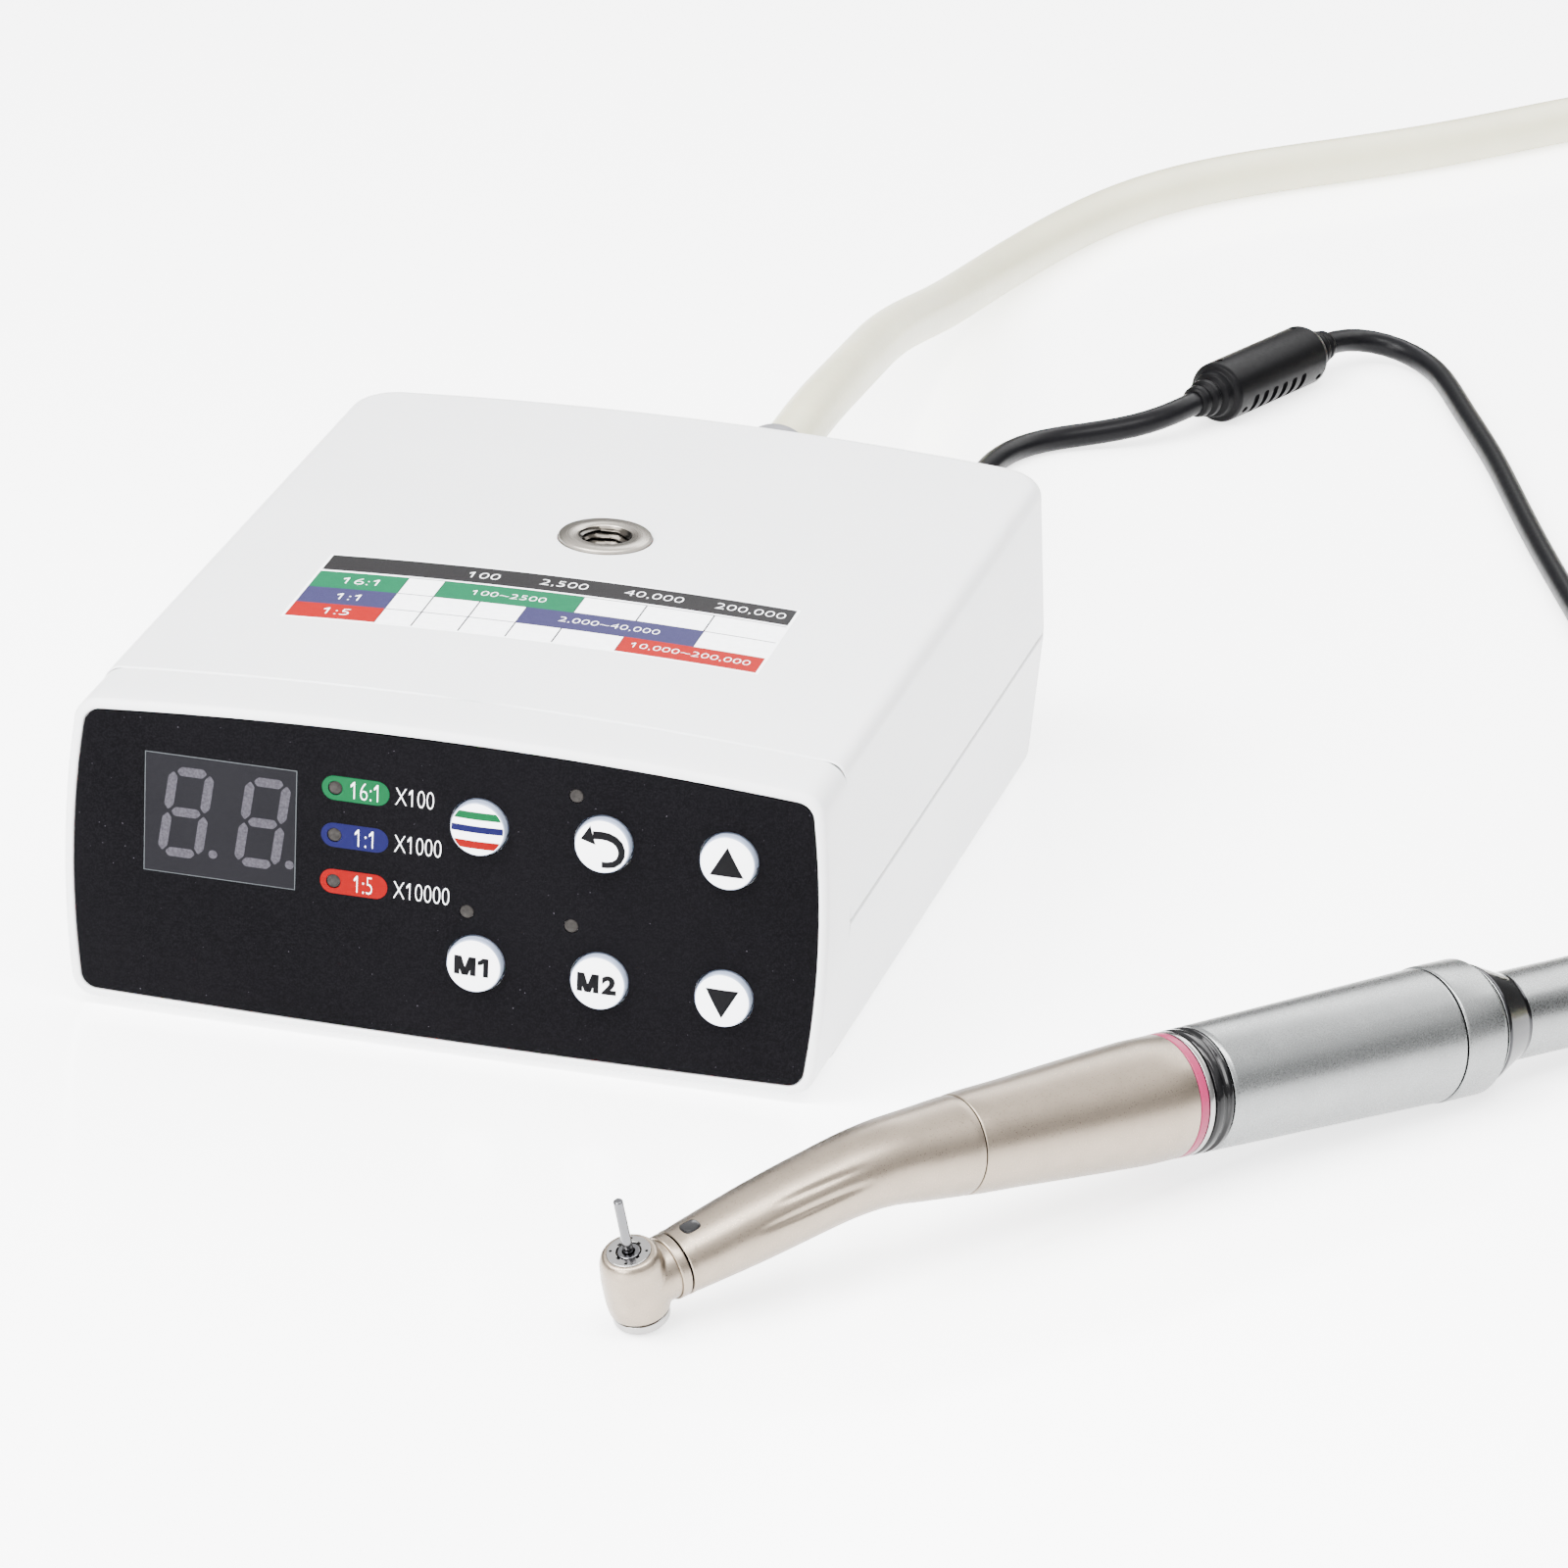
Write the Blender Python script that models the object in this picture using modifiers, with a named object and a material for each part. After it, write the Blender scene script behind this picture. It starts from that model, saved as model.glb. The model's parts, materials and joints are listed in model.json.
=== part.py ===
"""Brushless dental motor set: control box, motor on its hose, contra-angle and power lead.

Metres, +Z up.  The control box faces -Y.  The feet, the handpiece, the cords and the power
adapter rest on the plane Z = 0.
"""
import math

import bmesh
import bpy
import numpy as np
from mathutils import Matrix, Vector

MM = 0.001
GAP = 0.3 * MM  # clearance between pieces that touch
COLLECTION = "dental_motor_set"

# The origin stands under the middle of the control box and handpiece together.
FRAME_SHIFT = Vector((-63.4, 36.28, 0)) * MM

# Control box
CASE_HALF_WIDTH = 61 * MM
CASE_BULGE = 1.8 * MM  # how far the seam stands out past the corners
CASE_BOTTOM = 1.4 * MM
CASE_SEAM = 25.9 * MM
CASE_TOP = 52.5 * MM  # at the long edges
CASE_CROWN = 2.4 * MM
BELLY = 0.6 * MM  # how far the underside drops towards the middle
WALL = 2.2 * MM
FRONT_Y = -77.4 * MM
REAR_Y = 77.4 * MM
BEZEL_DEPTH = 14.6 * MM
REAR_CORNER = 8 * MM
EDGE_RADIUS = 2.5 * MM
BEZEL_CORNER = 4.5 * MM
FACE_WALL = 1.8 * MM
PANEL_SINK = 0.9 * MM  # depth of the recess that the front panel lies in
PANEL_THICK = 0.5 * MM
SCREW_SPOTS = [(x * MM, y * MM) for x in (-53, 53) for y in (-42, 50)]
FOOT_SPOTS = [(x * MM, y * MM) for x in (-44, 44) for y in (-54, 62)]
FOOT_RADIUS = 5 * MM

# Front panel
BUTTON_X = [5.8 * MM, 26.1 * MM, 46.4 * MM]
BUTTON_Z = [39.8 * MM, 16.5 * MM]
BUTTON_NAMES = [
    ["ratio_button", "reverse_button", "up_button"],
    ["memory_1_button", "memory_2_button", "down_button"],
]
BUTTON_RADIUS = 4.55 * MM
BUTTON_HOLE = 4.9 * MM
DISPLAY_X, DISPLAY_Z = -36.8 * MM, 34.9 * MM
DISPLAY_SIZE = (25.2 * MM, 20.4 * MM)
RATIO_LIGHTS = [(-17.9 * MM, z * MM) for z in (43.1, 35.1, 27.2)]
REVERSE_LIGHT = [(21.4 * MM, 47.2 * MM)]
MEMORY_LIGHTS = [(4.1 * MM, 25.1 * MM), (21.2 * MM, 25.1 * MM)]
LIGHT_RADIUS = 0.9 * MM

# Top and rear fittings
INSERT_Y = 14.4 * MM
INSERT_FLANGE = 7.75 * MM
INSERT_BODY = 6 * MM
INSERT_BORE = 3.9 * MM
GLAND_X, GLAND_Z = 8 * MM, 41 * MM
GLAND_END_Y = 98.5 * MM
JACK_X, JACK_Z = 34 * MM, 15 * MM
SUPPLY_X, SUPPLY_Z = -34 * MM, 15 * MM

# Handpiece: distances run along the motor's axis from its front face, rearwards positive
HANDPIECE_PLACE = Vector((122.4, -81.1, 13.77)) * MM
HANDPIECE_YAW = 52.7
HANDPIECE_PITCH = 2.905
HANDPIECE_ROLL = 8.0
NECK_BEND = 16.0
HEAD_LEAN = 112.0  # from the motor's axis to the bur's
BEND_AT = -66 * MM
BEND_TO_HEAD = 41.6 * MM
CONNECTOR_END = 104 * MM

# Gears of the contra-angle: 20 to 8 teeth, then 16 to 8, so the bur turns five times as fast
DRIVE_TEETH, IDLER_TEETH, CROWN_TEETH, PINION_TEETH = 20, 8, 16, 8
DRIVE_RADIUS = 3.0 * MM
CROWN_RADIUS = 3.6 * MM

# Cords
HOSE_RADIUS = 4.6 * MM
LEAD_RADIUS = 2.2 * MM
HOSE_NEAR = [
    (8, 91, 41), (8, 104, 40.9), (7.2, 122, 40), (6, 143, 37.6), (4.4, 164, 34.2), (2.4, 185, 30.4),
    (0.4, 207, 26.2), (-1.1, 235, 20), (-1.9, 265, 13.2), (-1.6, 296, 8), (1, 322, 5.4),
    (6.8, 347, 4.7), (16.3, 370, 4.6), (29.5, 388, 4.6), (46, 404, 4.6), (64, 422, 4.6),
    (84, 446, 4.6), (105, 468, 4.6), (130, 482, 4.6), (160, 486, 4.6), (190, 477, 4.6),
    (217, 455, 4.6), (236, 423, 4.6), (246, 386, 4.6), (250, 346, 4.6), (250.5, 300, 4.6),
    (250, 250, 4.6), (250, 202.5, 4.6),
]
HOSE_FAR = [
    (249.8, 137.6, 13.5), (249.3, 126, 12), (248.1, 113, 9.6), (246, 99, 7.2), (241.5, 83, 5.3),
    (233, 64, 4.8), (221, 46, 5), (207, 29, 6), (195, 14, 7.6), (185.45, 1.85, 8.45),
]
HOSE_COIL_CENTRE = (299.5, 170)
HOSE_COIL_MIDDLE = 45 * MM  # radius at the middle of its turns
LEAD_NEAR = [
    (34, 107.5, 15), (33.8, 118, 14), (32.6, 132, 10.4), (30.2, 147, 6.2), (27, 163, 3.4),
    (23.6, 180, 2.4), (21, 197, 2.2), (20.8, 212, 2.2), (25.6, 225.5, 2.3), (36, 233.4, 2.9),
    (45.2, 238.4, 4.6), (50.9, 247, 5.8),
]
LEAD_FAR = [
    (68.4, 290.2, 5.9), (71.8, 296.6, 5.2), (78.6, 300, 3.7), (87.3, 295, 2.5), (93.6, 284, 2.2),
    (100, 269, 2.2), (108, 250.5, 2.2), (116.5, 228.5, 2.2), (125.3, 205.5, 2.2),
    (134.6, 182.6, 2.2), (143.6, 160.5, 2.2), (151.4, 139, 2.2), (157.2, 117.5, 2.2),
]
LEAD_TAIL = [
    (210.8, 118, 6.8), (210.1, 128, 8), (207.8, 139, 10.8), (205, 149, 13.8), (203.3, 157, 15.6),
    (203, 163.3, 16),
]
LEAD_COIL_CENTRE = (185.1, 100)
LEAD_COIL_MIDDLE = 24 * MM
FERRITE_FROM, FERRITE_TO = (51.3, 247.9, 5.9), (68.1, 289.4, 5.9)
ADAPTER_LOW = Vector((177, 182, 0)) * MM
ADAPTER_HIGH = Vector((229, 298, 32)) * MM

# Colour, roughness and metallic value of each kind of material
FINISHES = {
    "white_plastic": ((0.86, 0.87, 0.87), 0.4, 0),
    "black_panel": ((0.02, 0.02, 0.022), 0.5, 0),
    "smoked_lens": ((0.35, 0.36, 0.37), 0.2, 0),
    "display_grey": ((0.16, 0.16, 0.17), 0.5, 0),
    "board_green": ((0.04, 0.18, 0.08), 0.5, 0),
    "light_pipe": ((0.8, 0.82, 0.8), 0.2, 0),
    "button_dome": ((0.9, 0.9, 0.9), 0.25, 0),
    "nickel": ((0.72, 0.72, 0.72), 0.25, 1),
    "satin_nickel": ((0.66, 0.63, 0.58), 0.35, 1),
    "aluminium": ((0.74, 0.75, 0.77), 0.35, 1),
    "steel": ((0.6, 0.6, 0.62), 0.3, 1),
    "copper": ((0.6, 0.3, 0.16), 0.4, 1),
    "black_rubber": ((0.03, 0.03, 0.03), 0.7, 0),
    "black_plastic": ((0.03, 0.03, 0.03), 0.35, 0),
    "grey_plastic": ((0.35, 0.36, 0.37), 0.5, 0),
    "beige_silicone": ((0.82, 0.79, 0.68), 0.5, 0),
    "pink_plastic": ((0.85, 0.2, 0.35), 0.4, 0),
    "lead_black": ((0.02, 0.02, 0.02), 0.45, 0),
}


# ---------------------------------------------------------------- scene and object helpers
def new_collection(name):
    made = bpy.data.collections.new(name)
    bpy.context.scene.collection.children.link(made)
    return made


def empty(name, matrix, parent=None):
    made = bpy.data.objects.new(name, None)
    made.parent = parent
    made.matrix_local = matrix
    PARTS.objects.link(made)
    return made


def finish_of(name, kind):
    colour, roughness, metallic = FINISHES[kind]
    made = bpy.data.materials.new(name)
    made.use_nodes = True
    shader = made.node_tree.nodes["Principled BSDF"]
    shader.inputs["Base Color"].default_value = (*colour, 1)
    shader.inputs["Roughness"].default_value = roughness
    shader.inputs["Metallic"].default_value = metallic
    return made


def place(mesh, name, kind, parent, matrix=None):
    """A new object of mesh: a part if kind names a finish, a hidden cutter if kind is None."""
    made = bpy.data.objects.new(name, mesh)
    made.parent = parent
    made.matrix_local = matrix or Matrix()
    if kind is None:
        CUTTERS.objects.link(made)
        made.hide_render = True
        made.display_type = "WIRE"
    else:
        PARTS.objects.link(made)
        mesh.materials.append(finish_of(name, kind))
        mesh.shade_smooth()
        mesh.set_sharp_from_angle(angle=math.radians(35))
    return made


def mesh_of(build):
    """A mesh filled in by build(bm)."""
    mesh = bpy.data.meshes.new("shape")
    bm = bmesh.new()
    build(bm)
    bmesh.ops.recalc_face_normals(bm, faces=bm.faces)
    bm.to_mesh(mesh)
    bm.free()
    return mesh


def boolean(target, operation, *others):
    for other in others:
        modifier = target.modifiers.new(operation.lower(), "BOOLEAN")
        modifier.operation = operation
        modifier.solver = "EXACT"
        modifier.object = other


# ---------------------------------------------------------------- shapes
def box_mesh(low, high):
    size = Vector(high) - Vector(low)
    middle = (Vector(high) + Vector(low)) / 2

    def build(bm):
        matrix = Matrix.Translation(middle) @ Matrix.Diagonal((*size, 1))
        bmesh.ops.create_cube(bm, size=1, matrix=matrix)

    return mesh_of(build)


def rod_mesh(radius, low, high, sides=20):
    """A cylinder along Z."""

    def build(bm):
        matrix = Matrix.Translation((0, 0, (low + high) / 2))
        bmesh.ops.create_cone(
            bm, cap_ends=True, segments=sides, radius1=radius, radius2=radius,
            depth=high - low, matrix=matrix,
        )

    return mesh_of(build)


def prism_mesh(outline, low, high):
    """A flat outline in XY, extruded from low to high along Z."""

    def build(bm):
        face = bm.faces.new([bm.verts.new((x, y, low)) for x, y in outline])
        grown = bmesh.ops.extrude_face_region(bm, geom=[face])
        top = [v for v in grown["geom"] if isinstance(v, bmesh.types.BMVert)]
        bmesh.ops.translate(bm, vec=(0, 0, high - low), verts=top)

    return mesh_of(build)


def turned(name, kind, profile, parent, matrix=None, steps=24, ring=False):
    """A profile of (radius, height) in mm turned about Z, from its top down its outer side."""
    mesh = bpy.data.meshes.new("profile")
    points = [(r * MM, 0, z * MM) for r, z in profile]
    edges = [(i, i + 1) for i in range(len(points) - 1)]
    if ring:
        edges.append((len(points) - 1, 0))
    mesh.from_pydata(points, edges, [])
    made = place(mesh, name, kind, parent, matrix)
    screw = made.modifiers.new("turn", "SCREW")
    screw.steps = screw.render_steps = steps
    screw.use_merge_vertices = True
    screw.merge_threshold = 0.00001
    screw.use_smooth_shade = True
    return made


def filleted(points, radii, segments=3):
    """An outline whose corners are rounded to radii, one radius for each point."""
    made = []
    for i, (point, radius) in enumerate(zip(points, radii, strict=True)):
        here = Vector(point)
        before = (Vector(points[i - 1]) - here).normalized()
        after = (Vector(points[(i + 1) % len(points)]) - here).normalized()
        if radius == 0:
            made.append(tuple(here))
            continue
        half = before.angle(after) / 2
        centre = here + (before + after).normalized() * radius / math.sin(half)
        start = here + before * radius / math.tan(half) - centre
        end = here + after * radius / math.tan(half) - centre
        for k in range(segments + 1):
            made.append(tuple(centre + start.slerp(end, k / segments).normalized() * radius))
    return made


def natural_spline(points, spacing):
    """Points about spacing apart on the smooth curve through points (mm), in metres."""
    knots = np.array(points, float) * MM
    t = np.concatenate([[0], np.cumsum(np.linalg.norm(np.diff(knots, axis=0), axis=1))])
    h = np.diff(t)
    n = len(knots)
    system = np.zeros((n, n))
    right = np.zeros((n, 3))
    system[0, 0] = system[-1, -1] = 1
    for i in range(1, n - 1):
        system[i, i - 1], system[i, i], system[i, i + 1] = h[i - 1], 2 * (h[i - 1] + h[i]), h[i]
        rise = (knots[i + 1] - knots[i]) / h[i] - (knots[i] - knots[i - 1]) / h[i - 1]
        right[i] = 6 * rise
    bend = np.linalg.solve(system, right)
    made = []
    for at in np.linspace(0, t[-1], max(4, round(t[-1] / spacing) + 1)):
        i = min(int(np.searchsorted(t, at, side="right")) - 1, n - 2)
        a, b = t[i + 1] - at, at - t[i]
        made.append(
            (bend[i] * a**3 + bend[i + 1] * b**3) / (6 * h[i])
            + (knots[i] / h[i] - bend[i] * h[i] / 6) * a
            + (knots[i + 1] / h[i] - bend[i + 1] * h[i] / 6) * b
        )
    return made


def curve_object(name, points, radius, scales=None, caps=True):
    """A tube along points; scales multiply its radius at each point."""
    data = bpy.data.curves.new(name, "CURVE")
    data.dimensions = "3D"
    data.bevel_depth = radius
    data.bevel_resolution = 2
    data.use_fill_caps = caps
    spline = data.splines.new("POLY")
    spline.points.add(len(points) - 1)
    for i, point in enumerate(points):
        spline.points[i].co = (*point, 1)
        spline.points[i].radius = scales[i] if scales else 1
    return bpy.data.objects.new(name, data)


def cord(name, kind, route, radius):
    made = curve_object(name, natural_spline(route, 5 * radius), radius)
    made.parent = DESK
    made.data.materials.append(finish_of(name, kind))
    PARTS.objects.link(made)
    return made


def along(start, end):
    """The matrix of a frame at start (mm) whose Z runs towards end."""
    way = Vector(end) - Vector(start)
    return Matrix.Translation(Vector(start) * MM) @ way.to_track_quat("Z", "X").to_matrix().to_4x4()


# ---------------------------------------------------------------- control box
def section(inset, upper):
    """Half of the casing's barrel-shaped section, as (x, z), inset all round."""
    side = CASE_HALF_WIDTH - inset
    middle = side + CASE_BULGE
    edge = CASE_TOP - inset if upper else CASE_BOTTOM + inset
    bow = CASE_CROWN if upper else -BELLY
    seam = CASE_SEAM + (GAP / 2 if upper else -GAP / 2)
    if inset:
        seam -= MM if upper else -MM
    count = 8 if upper else 4
    points = [(middle, seam), (side, edge)]
    radii = [0, max(EDGE_RADIUS - inset, 0.5 * MM)]
    for i in range(1, count):
        x = side * (1 - 2 * i / count)
        points.append((x, edge + bow * (1 - (x / side) ** 2)))
        radii.append(0)
    points += [(-side, edge), (-middle, seam)]
    radii += [radii[1], 0]
    return filleted(points, radii)


def along_y(outline, front, rear):
    """A section in XZ as a prism from front to rear."""
    mesh = prism_mesh([(x, z) for x, z in outline], -rear, -front)
    mesh.transform(Matrix.Rotation(math.radians(90), 4, "X"))
    return mesh


def plan_mesh(inset):
    """The casing seen from above: square at the front, with round rear corners."""
    side = CASE_HALF_WIDTH + CASE_BULGE + 5 * MM
    reach = CASE_HALF_WIDTH + CASE_BULGE - inset
    rear = REAR_Y - inset
    corner = REAR_CORNER - inset
    points = [(-side, FRONT_Y), (side, FRONT_Y), (side, 0), (reach, 0), (reach, rear),
              (-reach, rear), (-reach, 0), (-side, 0)]
    return prism_mesh(
        filleted(points, [0, 0, 0, 0, corner, corner, 0, 0], 5), -5 * MM, 70 * MM
    )


def rod_part(name, spots, radius, low, high, parent, sides=16):
    """Cylinders along Z at each (x, y), as one hidden object each."""
    return [
        place(rod_mesh(radius, low, high, sides), name, None, parent, Matrix.Translation((x, y, 0)))
        for x, y in spots
    ]


def facing_front(x, z, y=FRONT_Y):
    """A frame on the front whose Z points out of it, at -Y."""
    return Matrix.Translation((x, y, z)) @ Matrix.Rotation(math.radians(90), 4, "X")


def facing_rear(x, z, y=REAR_Y):
    return Matrix.Translation((x, y, z)) @ Matrix.Rotation(math.radians(-90), 4, "X")


def casing_half(name, upper):
    body_front = FRONT_Y + BEZEL_DEPTH + GAP / 2
    shell = place(along_y(section(0, upper), body_front, REAR_Y + MM), name, "white_plastic", DESK)
    hollow = place(
        along_y(section(WALL, upper), FRONT_Y, REAR_Y + MM), name + "_hollow", None, DESK
    )
    boolean(hollow, "INTERSECT", place(plan_mesh(WALL), name + "_inner_plan", None, DESK))
    boolean(shell, "INTERSECT", place(plan_mesh(0), name + "_plan", None, DESK))
    boolean(shell, "DIFFERENCE", hollow)
    return shell


def top_shell():
    shell = casing_half("top_shell", True)
    roof = CASE_TOP - 1.2 * MM
    bosses = rod_part("top_boss", SCREW_SPOTS, 3.4 * MM, CASE_SEAM + GAP / 2, roof, DESK, 10)
    pilots = rod_part("top_pilot", SCREW_SPOTS, 1.7 * MM, CASE_SEAM - MM, 38 * MM, DESK, 8)
    boolean(shell, "UNION", *bosses)
    boolean(shell, "DIFFERENCE", *pilots)
    insert_hole = rod_part("insert_hole", [(0, INSERT_Y)], INSERT_BODY + GAP, 40 * MM, 70 * MM, DESK, 24)
    gland_hole = place(
        rod_mesh(5.6 * MM, -9 * MM, 9 * MM, 24), "gland_hole", None, DESK, facing_rear(GLAND_X, GLAND_Z)
    )
    boolean(shell, "DIFFERENCE", *insert_hole, gland_hole)


def bottom_shell():
    shell = casing_half("bottom_shell", False)
    floor = CASE_BOTTOM + 1.2 * MM
    seam = CASE_SEAM - GAP / 2
    bosses = rod_part("low_boss", SCREW_SPOTS, 4.4 * MM, floor, seam, DESK, 10)
    posts = rod_part(
        "board_post", [(x * MM, y * MM) for x in (-38, 38) for y in (-34, 44)],
        2.5 * MM, floor, 9.7 * MM, DESK, 8,
    )
    boolean(shell, "UNION", *bosses, *posts)
    boolean(
        shell, "DIFFERENCE",
        *rod_part("screw_hole", SCREW_SPOTS, 1.7 * MM, -MM, 30 * MM, DESK, 8),
        *rod_part("head_hole", SCREW_SPOTS, 3.1 * MM, -MM, 7 * MM, DESK, 12),
        *rod_part("foot_pocket", FOOT_SPOTS, FOOT_RADIUS + 2 * GAP, -MM, 2.4 * MM, DESK, 14),
        place(rod_mesh(4.3 * MM, -9 * MM, 9 * MM, 20), "jack_hole", None, DESK,
              facing_rear(JACK_X, JACK_Z)),
        place(rod_mesh(7.3 * MM, -9 * MM, 9 * MM, 24), "supply_hole", None, DESK,
              facing_rear(SUPPLY_X, SUPPLY_Z)),
    )


def bezel_section(inset, bulge=CASE_BULGE):
    """The bezel's outline: a rectangle whose sides all bow outwards."""
    side, low, high = CASE_HALF_WIDTH - inset, CASE_BOTTOM + inset, CASE_TOP - inset
    middle, half = (low + high) / 2, (high - low) / 2
    points, radii = [], []
    for i in range(6):
        x = side * (2 * i / 6 - 1)
        points.append((x, low - BELLY * (1 - (x / side) ** 2)))
        radii.append(0)
    for i in range(4):
        z = middle + half * (2 * i / 4 - 1)
        points.append((side + bulge * (1 - ((z - middle) / half) ** 2), z))
        radii.append(0)
    for i in range(6):
        x = side * (1 - 2 * i / 6)
        points.append((x, high + CASE_CROWN * (1 - (x / side) ** 2)))
        radii.append(0)
    for i in range(4):
        z = middle + half * (1 - 2 * i / 4)
        points.append((-side - bulge * (1 - ((z - middle) / half) ** 2), z))
        radii.append(0)
    for corner in (0, 6, 10, 16):
        radii[corner] = max(BEZEL_CORNER - inset, MM)
    return filleted(points, radii)


def panel_holes(name, low, high):
    """Cutters through the front for the buttons, lights and display."""
    spots = [(x, z, BUTTON_HOLE, 16) for x in BUTTON_X for z in BUTTON_Z]
    lights = RATIO_LIGHTS + REVERSE_LIGHT + MEMORY_LIGHTS
    spots += [(x, z, LIGHT_RADIUS + 1.2 * GAP, 8) for x, z in lights]
    return [
        place(rod_mesh(radius, low, high, sides), name, None, DESK, facing_front(x, z))
        for x, z, radius, sides in spots
    ]


def display_block(name, kind, margin, front, rear):
    half_x, half_z = DISPLAY_SIZE[0] / 2 + margin, DISPLAY_SIZE[1] / 2 + margin
    low = (DISPLAY_X - half_x, front, DISPLAY_Z - half_z)
    high = (DISPLAY_X + half_x, rear, DISPLAY_Z + half_z)
    return place(box_mesh(low, high), name, kind, DESK)


def front():
    bezel_rear = FRONT_Y + BEZEL_DEPTH - GAP / 2
    face_inside = FRONT_Y + PANEL_SINK + FACE_WALL
    bezel = place(along_y(bezel_section(0), FRONT_Y, bezel_rear), "front_bezel", "white_plastic", DESK)
    recess = place(
        along_y(bezel_section(1.6 * MM), FRONT_Y - MM, FRONT_Y + PANEL_SINK), "recess", None, DESK
    )
    hollow = place(
        along_y(bezel_section(WALL), face_inside, bezel_rear + MM), "bezel_hollow", None, DESK
    )
    boolean(bezel, "DIFFERENCE", recess, hollow)
    board_front = face_inside + 8.3 * MM
    posts = [
        place(rod_mesh(2 * MM, 0, 8.5 * MM, 12), "bezel_post", None, DESK,
              facing_front(x * MM, z * MM, board_front - GAP))
        for x in (-55, 55) for z in (9, 45)
    ]
    boolean(bezel, "UNION", *posts)
    boolean(bezel, "DIFFERENCE", *panel_holes("bezel_hole", -6 * MM, MM))
    boolean(bezel, "DIFFERENCE", display_block("bezel_window", None, -0.6 * MM, -80 * MM, -70 * MM))
    panel_rear = FRONT_Y + PANEL_SINK - GAP
    overlay = place(
        along_y(bezel_section(1.6 * MM + GAP), panel_rear - PANEL_THICK, panel_rear),
        "front_overlay", "black_panel", DESK,
    )
    boolean(overlay, "DIFFERENCE", *panel_holes("overlay_hole", -6 * MM, MM))
    boolean(overlay, "DIFFERENCE", display_block("overlay_window", None, 0.3 * MM, -80 * MM, -70 * MM))
    display_block("display_window", "smoked_lens", 0, panel_rear - PANEL_THICK, panel_rear)
    display_block("display_module", "display_grey", -0.2 * MM, face_inside + GAP, board_front - GAP)
    front_board(board_front)
    light_pipe("ratio_light_pipe", RATIO_LIGHTS, panel_rear - PANEL_THICK)
    light_pipe("reverse_light_pipe", REVERSE_LIGHT, panel_rear - PANEL_THICK)
    light_pipe("memory_light_pipe", MEMORY_LIGHTS, panel_rear - PANEL_THICK)


def front_board(board_front):
    board = place(
        box_mesh((-57 * MM, board_front, 6 * MM), (57 * MM, board_front + 1.6 * MM, 49 * MM)),
        "front_board", "board_green", DESK,
    )
    for x in BUTTON_X:
        for z in BUTTON_Z:
            half = 3 * MM
            switch = place(
                box_mesh((x - half, board_front - 4 * MM, z - half), (x + half, board_front + MM / 2, z + half)),
                "switch_body", None, DESK,
            )
            plunger = place(
                rod_mesh(1.7 * MM, 3.5 * MM, 5 * MM, 12), "switch_plunger", None, DESK,
                facing_front(x, z, board_front),
            )
            boolean(board, "UNION", switch, plunger)


def light_pipe(name, spots, face):
    """Round lens posts behind the panel's lights, joined by a rail."""
    posts = [
        place(rod_mesh(LIGHT_RADIUS, -6.4 * MM, 0, 8), name if i == 0 else name + "_post",
              "light_pipe" if i == 0 else None, DESK, facing_front(x, z, face))
        for i, (x, z) in enumerate(spots)
    ]
    half = 1.3 * MM
    xs, zs = [x for x, _ in spots], [z for _, z in spots]
    rail = place(
        box_mesh((min(xs) - half, face + 6 * MM, min(zs) - half), (max(xs) + half, face + 7.6 * MM, max(zs) + half)),
        name + "_rail", None, DESK,
    )
    boolean(posts[0], "UNION", *posts[1:], rail)


def buttons():
    radius = BUTTON_RADIUS / MM
    dome = [(0, 1.5)] + [
        (radius * math.sin(math.radians(a)), 0.3 + 1.2 * math.cos(math.radians(a)))
        for a in (25, 50, 72)
    ]
    profile = dome + [(radius, 0.3), (radius, -3), (5.6, -3), (5.6, -3.8), (1.6, -3.8), (1.6, -5), (0, -5)]
    for column, x in enumerate(BUTTON_X):
        for row, z in enumerate(BUTTON_Z):
            turned(BUTTON_NAMES[row][column], "button_dome", profile, DESK, facing_front(x, z), 14)


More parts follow.
